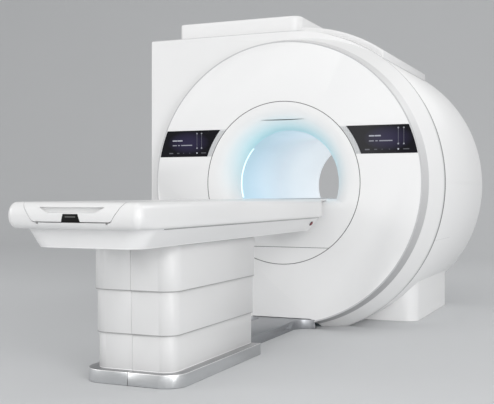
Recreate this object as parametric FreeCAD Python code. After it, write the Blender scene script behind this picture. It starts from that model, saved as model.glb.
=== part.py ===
"""Wide-bore magnetic resonance scanner: gantry, patient table and what they hold inside.

Millimetres. X is across, Y runs from the table into the bore, Z is up. The origin is on the
floor, under the bore axis, in the plane of the gantry's front face.
"""
import FreeCAD, Part
import math
import os

V = FreeCAD.Vector

# ---------------------------------------------------------------- driving dimensions
# gantry; radii are measured from the bore axis, and the round covers would reach a little
# below the floor if they weren't cut off there
barrel_radius = 1085.0
barrel_sink = 82.0
bore_radius = 375.0
gantry_depth = 1985.0
liner_wall = 12.0
flare_wall = 6.0
flare_radius = 566.0
flare_depth = 160.0
flare_steps = 4
apron_steps = 14
rear_flare_radius = 432.0
rear_flare_depth = 62.0
panel_thickness = 8.0
bevel_rise = 27.0
bevel_depth = 100.0
band_rise = 68.0
band_depth = 215.0
lip_rise = 11.0
lip_depth = 242.0
lip_stand = 4.0
square_inset = 10.0
square_corner_radius = 22.0
square_edge_chamfer = 8.0
band_fall = 0.2
cover_wall = 8.0
seam = 2.0
seat = 0.3

# lower part of the flare, its top slot, and the light guides behind it
apron_height = 117.0
slot_rise = 442.0
slot_width = 330.0
slot_opening = 9.0
light_width = 20.0
light_thickness = 6.0
light_top_angle = 35.0
light_bottom_angle = -16.0

# displays and grilles in the face
display_rise = 192.0
display_height = 190.0
grille_width = 39.0
display_margin = 8.0
grille_thickness = 4.0
grille_slots = 9
grille_border = 6.0

# barrel, saddle, turret and foot covers behind the front cover
barrel_wall = 6.0
barrel_front = 262.0
rear_turn = 76.0
neck_wall = 8.0
saddle_rise = 46.0
saddle_half_width = 650.0
saddle_front = 300.0
saddle_setback = 301.0
turret_left = -905.0
turret_right = 79.0
turret_front = 252.0
turret_rear = 893.0
turret_rise = 83.0
turret_corner_radius = 75.0
turret_edge_chamfer = 16.0
foot_reach = 175.0
foot_front = 595.0
foot_setback = 217.0
foot_lap = 10.0
foot_corner_radius = 100.0

# magnet and coils
vessel_clearance = 125.0
vessel_bore_radius = 450.0
vessel_front = 320.0
vessel_setback = 285.0
bracket_width = 60.0
bracket_angles = (15, 75, 105, 165, 200, 340)
end_bracket_angles = (30, 90, 150, 210, 330)
magnet_foot_inset = 16.2
magnet_foot_width = 210.0
magnet_foot_length = 270.0
cold_head_radius = 85.0
cold_head_offset = 60.0
cold_head_clearance = 37.0
cold_head_motor = 90.0
cold_head_motor_half = 59.5

# table top with the cradle in it
table_drop = 113.0
table_thickness = 120.0
table_half_width = 350.0
table_nose = -2535.0
table_end = -118.0
table_nose_radius = 54.0
table_upper_radius = 30.0
table_lower_radius = 12.0
cradle_half_top = 265.0
cradle_half_bottom = 200.0
cradle_thickness = 90.0
cradle_side_gap = 1.5
cradle_dish = 10.0
cradle_dish_margin = 30.0
cap_length = 90.0
grip_half_top = 172.0
grip_half_bottom = 125.0
grip_drop = 22.0
grip_height = 26.0
grip_depth = 36.0
grip_corner_radius = 9.0
latch_half_top = 38.0
latch_half_bottom = 50.0
latch_height = 38.0
latch_depth = 45.0
latch_travel = 6.0
cradle_travel = 1900.0
bridge_gap = 27.0
bridge_half_width = 300.0
bridge_wall = 12.0
bridge_rib = 18.0

# underbody with the cradle drive
under_height = 88.0
under_half_top = 335.0
under_half_bottom = 275.0
under_nose_top = -2440.0
under_nose_bottom = -2430.0
under_end_top = -125.0
under_end_bottom = -190.0
under_corner_radius = 85.0
under_wall = 6.0
pulley_radius = 24.0
pulley_rise = 46.0
drive_pulley_y = -2290.0
idler_pulley_y = -276.0
belt_width = 28.0
belt_thickness = 3.0
clamp_length = 40.0
bearing_gap = 5.0
bearing_plate = 6.0
bearing_half = 30.0
running_gap = 0.1
motor_radius = 30.0
motor_length = 130.0
stop_y = -262.0
stop_rise = 50.0
stop_radius = 13.0
stop_travel = 4.0
stop_proud = 4.0

# telescopic pedestal
pedestal_half_width = 238.0
pedestal_front = -2030.0
pedestal_rear = -1024.0
pedestal_corner_radius = 90.0
pedestal_rear_radius = 30.0
skirt_step = 9.0
skirt_wall = 4.0
skirt_overlap = 40.0
upper_seam = 455.0
lower_seam = 242.0
lift_travel = 340.0
lift_gap = 6.0
column_width = 120.0
column_wall = 6.0
column_front = -1790.0
column_rear = -1190.0
base_half_width = 270.0
base_front = -2057.0
base_rear = -1029.0
base_height = 65.0
base_corner_radius = 110.0
base_wall = 6.0
frame_beam = 60.0
frame_window = 360.0
dock_half_width = 130.0
dock_flare_half_width = 247.0
dock_flare_start = -103.0
dock_end = 40.0
dock_height = 62.0
dock_shoulder = 30.0
dock_gap = 4.0
dock_swell = 0.2
dock_bend = 0.45
dock_recess_depth = 8.0
dock_recess_setback = 90.0
dock_recess_length = 100.0
dock_recess_bottom = 22.0
dock_recess_top = 46.0

# ---------------------------------------------------------------- shared values
bore_height = barrel_radius - barrel_sink
lip_radius = barrel_radius + lip_stand
band_radius = lip_radius - lip_rise
bevel_radius = band_radius - band_rise
face_radius = bevel_radius - bevel_rise
square_reach = barrel_radius - square_inset
panel_back = panel_thickness + seat
chord_height = bore_height - flare_radius + apron_height
barrel_rear = gantry_depth - rear_turn
saddle_rear = gantry_depth - saddle_setback
foot_rear = gantry_depth - foot_setback
vessel_rear = gantry_depth - vessel_setback
slot_height = bore_height + slot_rise
display_bottom = bore_height + display_rise
display_top = display_bottom + display_height
display_inner_radius = flare_radius + grille_width
display_outer_radius = face_radius - display_margin
saddle_radius = barrel_radius + saddle_rise
turret_top = bore_height + saddle_radius + turret_rise
vessel_radius = barrel_radius - vessel_clearance
cold_head_height = turret_top - cold_head_clearance
magnet_foot_inner = math.sqrt(barrel_radius ** 2 - bore_height ** 2) + magnet_foot_inset
magnet_foot_outer = magnet_foot_inner + magnet_foot_width
foot_half_width = magnet_foot_outer + foot_reach
foot_height = bore_height - math.sqrt(barrel_radius ** 2 - foot_half_width ** 2) + foot_lap
table_top = bore_height - table_drop
sill_angle = math.asin(table_drop / bore_radius)
cradle_bottom = table_top - cradle_thickness
bridge_bottom = cradle_bottom - seat - bridge_wall
bridge_front = table_end + bridge_gap
table_bottom = table_top - table_thickness
grip_top = table_top - grip_drop
grip_bottom = grip_top - grip_height
cap_rear = table_nose + cap_length
latch_rear = table_nose + latch_depth
under_bottom = table_bottom - under_height
stop_height = under_bottom + stop_rise
pulley_height = under_bottom + pulley_rise
clamp_front = drive_pulley_y + pulley_radius + clamp_length / 2
liner_rear = gantry_depth - rear_flare_depth
far = 6000.0


# ---------------------------------------------------------------- drawing helpers
def in_front(y):
    """Places an outline drawn as (x, z) in the upright plane at y."""
    return lambda p: V(p.x, y, p.y)


def in_plan(z):
    """Places an outline drawn as (x, y) in the level plane at z."""
    return lambda p: V(p.x, p.y, z)


def in_side(x):
    """Places an outline drawn as (y, z) in the upright plane at x, along the table."""
    return lambda p: V(x, p.x, p.y)


def in_section(p):
    """Places an outline drawn as (radius, y) in the half plane beside the bore axis."""
    return V(p.x, p.y, bore_height)


def outline(corners, place, arcs=True):
    """Closed wire through (a, b, corner radius) corners.

    A corner with a radius gets an arc, or without arcs its chord.
    """
    count = len(corners)
    ends = []
    for i, (a, b, radius) in enumerate(corners):
        corner = V(a, b, 0)
        back = (V(*corners[i - 1][:2], 0) - corner).normalize()
        ahead = (V(*corners[(i + 1) % count][:2], 0) - corner).normalize()
        if radius <= 0:
            ends.append((corner, None, corner))
            continue
        half = back.getAngle(ahead) / 2
        reach = radius / math.tan(half)
        middle = corner + (back + ahead).normalize() * (radius / math.sin(half) - radius)
        ends.append((corner + back * reach, middle, corner + ahead * reach))
    edges = []
    for i, (start, middle, end) in enumerate(ends):
        if middle is not None and arcs:
            edges.append(Part.Arc(place(start), place(middle), place(end)).toShape())
        elif middle is not None:
            edges.append(Part.LineSegment(place(start), place(end)).toShape())
        follower = ends[(i + 1) % count][0]
        if end.distanceToPoint(follower) > 1e-6:
            edges.append(Part.LineSegment(place(end), place(follower)).toShape())
    return Part.Wire(edges)


def sharp(points):
    return [(a, b, 0) for a, b in points]


def prism(wire, direction):
    return Part.Face(wire).extrude(direction)


def revolved(points):
    """Solid of revolution about the bore axis from (radius, y) points."""
    face = Part.Face(outline(sharp(points), in_section))
    return face.revolve(V(0, 0, bore_height), V(0, 1, 0), 360)


def ring(inner, outer, front, rear):
    return revolved([(inner, front), (outer, front), (outer, rear), (inner, rear)])


def disc(radius, front, rear):
    return Part.makeCylinder(radius, rear - front, V(0, front, bore_height), V(0, 1, 0))


def block(left, right, front, rear, bottom, top):
    size = (right - left, rear - front, top - bottom)
    return Part.makeBox(*size, V(left, front, bottom))


def above_floor(shape):
    return shape.common(block(-far, far, -far, far, 0, far))


def mirrored(shape):
    return shape.mirror(V(0, 0, 0), V(1, 0, 0))


def grouped(shapes):
    return Part.makeCompound(shapes)


def wedge(start, end, front, rear):
    """Sector about the bore axis between two angles in degrees, counted from +X."""
    points = [V(0, 0, bore_height)]
    steps = 4
    for i in range(steps + 1):
        angle = math.radians(start + (end - start) * i / steps)
        points.append(V(far * math.cos(angle), 0, bore_height + far * math.sin(angle)))
    shape = prism(Part.makePolygon(points + points[:1]), V(0, rear - front, 0))
    shape.translate(V(0, front, 0))
    return shape


def spokes(inner, outer, front, rear, angles, width):
    """Square posts between two cylinders about the bore axis, one at each angle."""
    shell = ring(inner, outer, front, rear)
    posts = []
    for angle in angles:
        post = block(inner / 2, outer + width, front, rear, -width / 2, width / 2)
        post.rotate(V(0, 0, 0), V(0, 1, 0), -angle)
        post.translate(V(0, 0, bore_height))
        posts.append(shell.common(post))
    return posts


def half_of(shape, side):
    """The left (-1) or right (1) half of a cover that is split down its middle."""
    if side > 0:
        return shape.common(block(seam / 2, far, -far, far, -far, far))
    return shape.common(block(-far, -seam / 2, -far, far, -far, far))


# ---------------------------------------------------------------- magnet and coils
def magnet_vessel():
    """Welded vessel with the superconducting windings in liquid helium sealed inside it."""
    return ring(vessel_bore_radius, vessel_radius, vessel_front, vessel_rear)


def gradient_coil():
    inner = bore_radius + liner_wall + seat
    return ring(inner, vessel_bore_radius - seat, vessel_front, vessel_rear)


def cold_head_x():
    return (turret_left + turret_right) / 2


def cold_head_y():
    return (turret_front + turret_rear) / 2 + cold_head_offset


def cold_head():
    """Refrigerator of the magnet with its square motor on top."""
    x, y = cold_head_x(), cold_head_y()
    low = bore_height + vessel_radius / 2
    neck = cold_head_height - cold_head_motor
    body = Part.makeCylinder(cold_head_radius, neck - low, V(x, y, low))
    body = body.cut(disc(vessel_radius, 0, gantry_depth))
    half = cold_head_motor_half
    return body.fuse(block(x - half, x + half, y - half, y + half, neck, cold_head_height))


def foot_blocks(gap, top):
    """Plan of the magnet's four feet, grown by a gap, as blocks up to a height."""
    shapes = []
    for side in (-1, 1):
        left, right = sorted((side * magnet_foot_inner, side * magnet_foot_outer))
        for start in (foot_front + 3 * cover_wall, vessel_rear - magnet_foot_length):
            shapes.append(block(left - gap, right + gap, start - gap,
                                start + magnet_foot_length + gap, 0, top))
    return shapes


def magnet_feet():
    """Steel blocks that carry the vessel and stand on the floor."""
    vessel = disc(vessel_radius, 0, gantry_depth)
    return grouped([foot.cut(vessel) for foot in foot_blocks(0, bore_height)])


# ---------------------------------------------------------------- bore and flare
def bore_tube():
    """Wall of the bore, with the radio-frequency body coil moulded into it."""
    tube = ring(bore_radius, bore_radius + liner_wall, flare_depth, liner_rear)
    return tube.cut(light_zones(0))


def quarter_curve(rim, rim_y, low, low_y, steps):
    """(radius, y) points of a quarter ellipse, flat at the rim and straight in the bore."""
    points = []
    for i in range(steps + 1):
        angle = math.pi / 2 * i / steps
        points.append((rim - (rim - low) * math.sin(angle),
                       low_y - (low_y - rim_y) * math.cos(angle)))
    return points


def flare_section(low):
    """(radius, y) outline of the flare's wall, drawn in to a radius at its rear."""
    inside = quarter_curve(flare_radius, 0, low, flare_depth, flare_steps)
    outside = quarter_curve(flare_radius, flare_wall, low + flare_wall, flare_depth, 2)
    return inside + outside[::-1]


def round_flare():
    """Trumpet-shaped wall from the face panel to the bore, above the runway's level."""
    turn = math.degrees(sill_angle - seat / bore_radius)
    return revolved(flare_section(bore_radius)).common(
        wedge(-turn, 180 + turn, -seam, flare_depth + seam))


def lower_flare():
    """Rest of the flare, drawn in to the straight sill in front of the runway."""
    wires = []
    for i in range(apron_steps + 1):
        angle = sill_angle + (math.pi - 2 * sill_angle) * i / apron_steps
        points = [V(r * math.cos(angle), y, bore_height - r * math.sin(angle))
                  for r, y in flare_section(table_drop / math.sin(angle))]
        wires.append(Part.makePolygon(points + points[:1]))
    return Part.makeLoft(wires, True, True)


def light_zones(gap):
    """Notches in the bore's front edge for the two light guides, one each side."""
    zone = ring(bore_radius - light_thickness, bore_radius + light_thickness,
                flare_depth + gap, flare_depth + light_width - gap)
    turn = math.degrees(gap / bore_radius)
    right = wedge(light_bottom_angle + turn, light_top_angle - turn, 0, gantry_depth)
    return [zone.common(right), zone.common(mirrored(right))]


def flare_slot():
    """Lens-shaped slot in the top of the flare."""
    left, right = V(-slot_width / 2, 0, slot_height), V(slot_width / 2, 0, slot_height)
    high = V(0, 0, slot_height + slot_opening / 2)
    low = V(0, 0, slot_height - slot_opening / 2)
    wire = Part.Wire([Part.Arc(left, high, right).toShape(),
                      Part.Arc(right, low, left).toShape()])
    slot = prism(wire, V(0, flare_depth, 0))
    slot.translate(V(0, -seam, 0))
    return slot


def front_flare():
    return round_flare().cut(flare_slot())


def flare_apron():
    """Closed lower part of the flare, with the way in for the runway's nose."""
    upper = block(-far, far, -far, far, chord_height + 2 * seat, far)
    nose = prism(bridge_profile(bridge_half_width, seat, table_top + seam, -far),
                 V(0, 2 * far, 0))
    return lower_flare().common(upper).cut(nose)


def flare_lower_panel():
    return lower_flare().common(block(-far, far, -far, far, 0, chord_height))


def bore_lights():
    wall = ring(bore_radius, bore_radius + light_thickness - seat, 0, gantry_depth)
    return grouped([wall.common(zone) for zone in light_zones(seat)])


# ---------------------------------------------------------------- front of the gantry
def display_zone(inner, outer, gap, depth):
    """Straight above and below, round at both sides, to the right of the bore."""
    bounds = block(0, far, 0, depth, display_bottom - gap, display_top + gap)
    return ring(inner - gap, outer + gap, 0, depth).common(bounds)


def dock_opening(front, rear, gap):
    """Opening at the floor that the floor duct passes through."""
    top = dock_height + gap
    wide = dock_flare_half_width + gap / 2
    narrow = wide - dock_shoulder
    corners = sharp([(-wide, -gap), (wide, -gap), (narrow, top), (-narrow, top)])
    return prism(outline(corners, in_front(front)), V(0, rear - front, 0))


def face_panel():
    panel = ring(flare_radius + seam, face_radius - seam / 2, 0, panel_thickness)
    windows = display_zone(flare_radius, display_outer_radius, seat, panel_thickness)
    return panel.cut([windows, mirrored(windows), dock_opening(-seam, flare_depth, dock_gap)])


def display_right():
    return display_zone(display_inner_radius, display_outer_radius, 0, panel_thickness)


def display_left():
    return mirrored(display_right())


def grille_right():
    """Louvred strip between the display and the flare."""
    plate = display_zone(flare_radius + seam, display_inner_radius - seam, 0, grille_thickness)
    height = display_top - display_bottom
    pitch = height / grille_slots
    slots = []
    for i in range(grille_slots):
        middle = display_bottom + pitch * (i + 0.5)
        rise = middle - bore_height
        inner = math.sqrt((flare_radius + seam) ** 2 - rise ** 2) + grille_border
        outer = math.sqrt((display_inner_radius - seam) ** 2 - rise ** 2) - grille_border
        slots.append(block(inner, outer, -seam, far, middle - pitch / 4, middle + pitch / 4))
    return plate.cut(slots)


def grille_left():
    return mirrored(grille_right())


def square_side(reach, front, rear, corner, lip):
    """Squared left side of the front cover, from floor to top, as one filled block."""
    top = bore_height + reach
    corners = [(-reach, 0, 0), (band_radius, 0, 0), (band_radius, top, 0),
               (-reach, top, corner)]
    body = prism(outline(corners, in_front(front)), V(0, rear - front, 0))
    slope = sharp([(0, front), (far, front + far * band_fall), (far, rear + far),
                   (-far, rear + far), (-far, front)])
    body = body.common(prism(outline(slope, in_plan(-far)), V(0, 0, 2 * far)))
    right = block(0, far, -far, far, 0, bore_height)
    body = body.cut(right)
    round_side = disc(band_radius + lip, front, rear)
    kept = body.common(block(0, far, -far, far, 0, far)).common(round_side)
    return body.common(block(-far, 0, -far, far, 0, far)).fuse(kept)


def front_cover():
    """Raised ring round the face, squared off to the left and at the top left corner."""
    wall = cover_wall
    ring_wall = revolved([
        (face_radius + seam, 0), (bevel_radius, bevel_depth), (band_radius, band_depth),
        (lip_radius, lip_depth), (lip_radius - wall, lip_depth),
        (bevel_radius - wall, bevel_depth + wall / 2), (face_radius - wall, 2 * wall),
        (face_radius - wall, panel_back), (face_radius + seam, panel_back)])
    solid = square_side(square_reach, bevel_depth, lip_depth, square_corner_radius, lip=0)
    edges = [edge for edge in solid.Edges if on_front_corner(edge)]
    solid = solid.makeChamfer(square_edge_chamfer, edges)
    solid = solid.cut(disc(bevel_radius - seam, -far, far))
    hollow = square_side(square_reach - wall, bevel_depth + wall, lip_depth + 1, 0, -wall)
    hollow = hollow.cut(disc(bevel_radius - seam, -far, far))
    cover = solid.cut(hollow).fuse(ring_wall.cut(hollow))
    return above_floor(cover).cut(dock_opening(-far, far, dock_gap)).removeSplitter()


def on_front_corner(edge):
    """Whether an edge is the left or top edge of the squared side's front."""
    box = edge.BoundBox
    level = abs(box.YMax - bevel_depth) < 0.1
    left = box.XMax < -square_reach + square_corner_radius + 1
    top = box.ZMin > bore_height + square_reach - square_corner_radius - 1
    return level and (left or top)


def cover_back():
    """Closes the squared side behind, with the neck that the barrel covers are seated on."""
    front, rear = lip_depth + seat, lip_depth + seat + barrel_wall
    top = bore_height + square_reach
    corners = [(-square_reach, 0, 0), (0, 0, 0), (0, top, 0),
               (-square_reach, top, square_corner_radius)]
    plate = prism(outline(corners, in_front(front)), V(0, rear - front, 0))
    neck = barrel_radius - barrel_wall - seat
    plate = plate.fuse(disc(neck, front, barrel_front + 4 * barrel_wall))
    plate = plate.cut(disc(neck - neck_wall, -far, far))
    return above_floor(plate).cut(dock_opening(-far, far, dock_gap))


# ---------------------------------------------------------------- barrel and rear
def barrel_half(side):
    """One side of the round cover."""
    shell = ring(barrel_radius - barrel_wall, barrel_radius, barrel_front, barrel_rear)
    ways = [cold_head_way()] + foot_blocks(seam, foot_height)
    return half_of(above_floor(shell), side).cut(ways)


def cold_head_way():
    """Way up through the covers for the refrigerator."""
    radius = cold_head_radius + bracket_width / 2
    return Part.makeCylinder(radius, far, V(cold_head_x(), cold_head_y(), bore_height))


def barrel_cover_left():
    return barrel_half(-1)


def barrel_cover_right():
    return barrel_half(1)


def saddle_solid(radius, half_width, front, rear):
    return disc(radius, front, rear).common(
        block(-half_width, half_width, front, rear, bore_height, far))


def saddle_cover():
    """Raised cover along the top of the barrel."""
    shell = saddle_solid(saddle_radius, saddle_half_width, saddle_front, saddle_rear)
    inner = saddle_solid(
        saddle_radius - barrel_wall, saddle_half_width - barrel_wall,
        saddle_front + barrel_wall, saddle_rear - barrel_wall)
    barrel = disc(barrel_radius + seat, 0, gantry_depth)
    return shell.cut([inner, barrel, cold_head_way()])


def turret_block(inset, arcs):
    r = turret_corner_radius - inset
    corners = [
        (turret_left + inset, turret_front + inset, r),
        (turret_right - inset, turret_front + inset, r),
        (turret_right - inset, turret_rear - inset, r),
        (turret_left + inset, turret_rear - inset, r),
    ]
    top = turret_top - inset
    box = prism(outline(corners, in_plan(bore_height), arcs), V(0, 0, top - bore_height))
    rims = [e for e in box.Edges if e.BoundBox.ZMin > top - 0.1]
    return box.makeChamfer(turret_edge_chamfer, rims)


def turret_cover():
    """Rounded box over the refrigerator, cut to sit on the barrel and the saddle."""
    box = turret_block(0, True).cut(turret_block(barrel_wall, False))
    barrel = disc(barrel_radius + seat, 0, gantry_depth)
    saddle = saddle_solid(
        saddle_radius + seat, saddle_half_width + seat, saddle_front - seat, saddle_rear)
    return box.cut([barrel, saddle])


def rear_cover():
    """Dished end cover."""
    front = barrel_rear + seat
    turn = gantry_depth - front
    inner = barrel_radius - cover_wall
    inside = gantry_depth - cover_wall
    rim = rear_flare_radius + seat
    dish = quarter_curve(barrel_radius - turn, gantry_depth, barrel_radius, front, 3)
    return above_floor(revolved([
        (rim, gantry_depth), *dish, (inner, front), (inner - turn + cover_wall, inside),
        (rim, inside)]))


def rear_flare():
    """Flared rear end of the bore, set in the end cover and closed below the runway."""
    back = gantry_depth - cover_wall
    inside = quarter_curve(rear_flare_radius, gantry_depth, bore_radius, liner_rear, 2)
    flare = revolved([*inside, (bore_radius + liner_wall, liner_rear),
                      (rear_flare_radius, back)])
    plate = disc(rear_flare_radius, back, gantry_depth).common(
        block(-far, far, back, gantry_depth, 0, table_top))
    runway = prism(bridge_profile(bore_radius, seat, table_top + seam, 0), V(0, far, 0))
    return flare.fuse(plate).cut(runway)


def foot_cover(side):
    """Block at the side of the barrel that hides the magnet's feet."""
    inner = magnet_foot_inner
    r = foot_corner_radius
    corners = [(inner, foot_front, 0), (foot_half_width, foot_front, r),
               (foot_half_width, foot_rear, r), (inner, foot_rear, 0)]
    solid = prism(outline(corners, in_plan(0)), V(0, 0, foot_height))
    wall = cover_wall
    hollow = [(inner - 1, foot_front + wall, 0), (foot_half_width - wall, foot_front + wall,
               r - wall), (foot_half_width - wall, foot_rear - wall, r - wall),
              (inner - 1, foot_rear - wall, 0)]
    solid = solid.cut(prism(outline(hollow, in_plan(-1)), V(0, 0, foot_height + 2)))
    solid = solid.cut(disc(barrel_radius + seat, 0, gantry_depth))
    return solid if side > 0 else mirrored(solid)


def foot_cover_left():
    return foot_cover(-1)


def foot_cover_right():
    return foot_cover(1)


def cover_brackets():
    """Posts from the magnet to the covers round, in front of and behind it."""
    shapes = []
    inner = barrel_radius - barrel_wall
    for start in (vessel_front + 2 * bracket_width, vessel_rear - 3 * bracket_width):
        shapes += spokes(vessel_radius, inner, start, start + bracket_width,
                         bracket_angles, bracket_width)
    radius = vessel_radius - bracket_width / 2
    shapes += spokes(radius - bracket_width, radius, panel_thickness, vessel_front,
                     end_bracket_angles, bracket_width)
    shapes += spokes(radius - bracket_width, radius, vessel_rear, gantry_depth - cover_wall,
                     end_bracket_angles, bracket_width)
    return grouped(shapes)


# ---------------------------------------------------------------- table top and cradle
def table_slab():
    """Whole table top before the cradle's channel is cut.

    Its nose is round, its upper side edges are soft and its lower ones nearly sharp.
    """
    half, front, rear, r = table_half_width, table_nose, table_end, table_nose_radius
    low, high = table_lower_radius, table_upper_radius
    plan = outline([(-half, front, r), (half, front, r), (half, rear, r), (-half, rear, r)],
                   in_plan(table_bottom))
    across = outline([(-half, table_bottom, low), (half, table_bottom, low),
                      (half, table_top, high), (-half, table_top, high)], in_front(front))
    along = outline([(front, table_bottom, r), (rear, table_bottom, 0), (rear, table_top, 0),
                     (front, table_top, r)], in_side(-half))
    slab = prism(plan, V(0, 0, table_thickness)).common(prism(across, V(0, rear - front, 0)))
    return slab.common(prism(along, V(2 * half, 0, 0)))


def cradle_section(gap, drop, front, rear):
    """Prism of the cradle's cross-section, grown by gap at the sides and drop below."""
    low = cradle_bottom - drop
    lean = (cradle_half_top - cradle_half_bottom) / cradle_thickness
    bottom = cradle_half_bottom + gap - lean * drop
    top = cradle_half_top + gap + lean * far / 20
    corners = sharp([(-bottom, low), (bottom, low), (top, table_top + far / 20),
                     (-top, table_top + far / 20)])
    return prism(outline(corners, in_front(front)), V(0, rear - front, 0))


def table_body():
    channel = cradle_section(cradle_side_gap, seat, -far, far)
    belt_slot = block(-belt_width / 2, belt_width / 2, clamp_front - lift_gap,
                      clamp_front + clamp_length + cradle_travel + lift_gap, 0, far)
    return table_slab().cut([channel, belt_slot])


def cradle():
    """Board that carries the patient, with a shallow dish along its top."""
    board = cradle_section(0, 0, cap_rear + seat, table_end - seam)
    board = board.cut(block(-far, far, -far, far, table_top, far))
    half = cradle_half_top - cradle_dish_margin
    depth_radius = (half ** 2 + cradle_dish ** 2) / (2 * cradle_dish)
    dish = Part.makeCylinder(
        depth_radius, far, V(0, -far / 2, table_top + depth_radius - cradle_dish), V(0, 1, 0))
    return board.cut(dish)


def latch_shape(gap, rear):
    low = cradle_bottom - gap
    corners = sharp([
        (-latch_half_bottom - gap, low), (latch_half_bottom + gap, low),
        (latch_half_top + gap, cradle_bottom + latch_height + gap),
        (-latch_half_top - gap, cradle_bottom + latch_height + gap)])
    return prism(outline(corners, in_front(table_nose - 1)), V(0, rear - table_nose + 1, 0))


def cradle_end_cap():
    """End of the cradle, flush with the table's nose, with a grip and the latch's pocket."""
    cap = table_slab().common(cradle_section(0, 0, -far, cap_rear))
    r = grip_corner_radius
    grip = [(-grip_half_bottom, grip_bottom, r), (grip_half_bottom, grip_bottom, r),
            (grip_half_top, grip_top, r), (-grip_half_top, grip_top, r)]
    recess = prism(outline(grip, in_front(table_nose - 1)), V(0, grip_depth + 1, 0))
    pocket = latch_shape(seat, latch_rear + latch_travel + 1)
    return cap.cut([recess, pocket])


def cradle_latch():
    """Release button in the end cap; it is pushed in."""
    return table_slab().common(latch_shape(0, latch_rear))


def bridge_profile(half, gap, top, y):
    """Outline of the runway's outside: flat rims of a half width, and the trough below."""
    rim = table_top - bridge_wall - gap
    high = cradle_half_top + bridge_rib + gap
    low = cradle_half_bottom + bridge_rib + gap
    right = [(low, bridge_bottom - gap), (high, rim), (half + gap, rim), (half + gap, top)]
    left = [(-x, z) for x, z in right[::-1]]
    return outline(sharp(right + left), in_front(y))


def bridge():
    """Runway that carries the cradle through the bore, with its nose through the flare."""
    front, rear = flare_depth + seat, gantry_depth
    body = prism(bridge_profile(bore_radius, 0, table_top, front), V(0, rear - front, 0))
    body = body.common(disc(bore_radius - seat, front, rear))
    nose = prism(bridge_profile(bridge_half_width, 0, table_top, bridge_front),
                 V(0, front - bridge_front, 0))
    trough = cradle_section(cradle_side_gap, seat, -far, far)
    return body.fuse(nose).cut(trough).removeSplitter()


# ---------------------------------------------------------------- underbody and drive
def under_loft(inset, bottom, top, arcs):
    """Tapered tray, lofted between a level outline below and one above."""
    def level(z):
        share = (z - under_bottom) / (table_bottom - under_bottom)
        half = under_half_bottom + (under_half_top - under_half_bottom) * share - inset
        nose = under_nose_bottom + (under_nose_top - under_nose_bottom) * share + inset
        end = under_end_bottom + (under_end_top - under_end_bottom) * share - inset
        r = under_corner_radius - inset
        return outline([(-half, nose, r), (half, nose, r), (half, end, r / 2),
                        (-half, end, r / 2)], in_plan(z), arcs)
    return Part.makeLoft([level(bottom), level(top)], True, True)


def side_normal():
    """Outward direction of the underbody's right side."""
    rise = table_bottom - under_bottom
    lean = under_half_top - under_half_bottom
    return V(rise, 0, -lean).normalize()


def stop_centre():
    """Middle of the stop button on the underbody's right side."""
    share = (stop_height - under_bottom) / (table_bottom - under_bottom)
    half = under_half_bottom + (under_half_top - under_half_bottom) * share
    return V(half, stop_y, stop_height)


def stop_cylinder(radius, low, high):
    """Cylinder square to the underbody's side, between two heights over its surface."""
    normal = side_normal()
    return Part.makeCylinder(radius, high - low, stop_centre() + normal * low, normal)


def table_underbody():
    tray = under_loft(0, under_bottom, table_bottom, True)
    tray = tray.cut(under_loft(under_wall, under_bottom + under_wall, table_bottom + 1, False))
    hole = stop_cylinder(stop_radius + seat, -under_half_top, under_wall)
    hole = hole.common(block(0, far, -far, far, 0, far))
    return tray.cut([hole, mirrored(hole)])


def stop_button_right():
    """Red button; it is pushed towards the table's middle."""
    return stop_cylinder(stop_radius, -under_wall, stop_travel + stop_proud)


def stop_button_left():
    return mirrored(stop_button_right())


def belt_clamp():
    """Ties the cradle to the belt, through the slot in the table top's floor."""
    half = belt_width / 2 - 3 * seat
    low = pulley_height + pulley_radius + belt_thickness + 2 * seat
    return block(-half, half, clamp_front, clamp_front + clamp_length, low,
                 cradle_bottom)


def pulley(y):
    """Roller whose ends run in the bearing plates."""
    return roller(pulley_radius, belt_width / 2 + bearing_gap + bearing_plate, y)


def roller(radius, half, y):
    return Part.makeCylinder(radius, 2 * half, V(-half, y, pulley_height), V(1, 0, 0))


def drive_pulley():
    return pulley(drive_pulley_y)


def idler_pulley():
    return pulley(idler_pulley_y)


def drive_belt():
    """Endless belt round both pulleys."""
    def loop(radius, half):
        low, high = pulley_height - radius, pulley_height + radius
        a, b = drive_pulley_y, idler_pulley_y
        wire = Part.Wire([
            Part.LineSegment(V(-half, a, high), V(-half, b, high)).toShape(),
            Part.Arc(V(-half, b, high), V(-half, b + radius, pulley_height),
                     V(-half, b, low)).toShape(),
            Part.LineSegment(V(-half, b, low), V(-half, a, low)).toShape(),
            Part.Arc(V(-half, a, low), V(-half, a - radius, pulley_height),
                     V(-half, a, high)).toShape()])
        return prism(wire, V(2 * half, 0, 0))
    half = belt_width / 2 - seat
    inner = pulley_radius + seat
    return loop(inner + belt_thickness, half).cut(loop(inner, half))


def pulley_brackets():
    """Four bearing plates that stand on the underbody's floor."""
    floor = under_bottom + under_wall
    shapes = []
    for y in (drive_pulley_y, idler_pulley_y):
        bearing = roller(pulley_radius + running_gap, far, y)
        near = belt_width / 2 + bearing_gap
        for left in (-near - bearing_plate, near):
            plate = block(left, left + bearing_plate, y - bearing_half, y + bearing_half,
                          floor, pulley_height + bearing_half)
            shapes.append(plate.cut(bearing))
    return grouped(shapes)


def drive_motor():
    """Motor and gearbox beside the drive pulley."""
    left = belt_width / 2 + bearing_gap + bearing_plate + 2 * seam
    motor = Part.makeCylinder(
        motor_radius, motor_length, V(left, drive_pulley_y, pulley_height), V(1, 0, 0))
    foot = block(left, left + motor_length / 3, drive_pulley_y - motor_radius - seam,
                 drive_pulley_y + motor_radius + seam, under_bottom + under_wall, pulley_height)
    return motor.fuse(foot)


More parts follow.
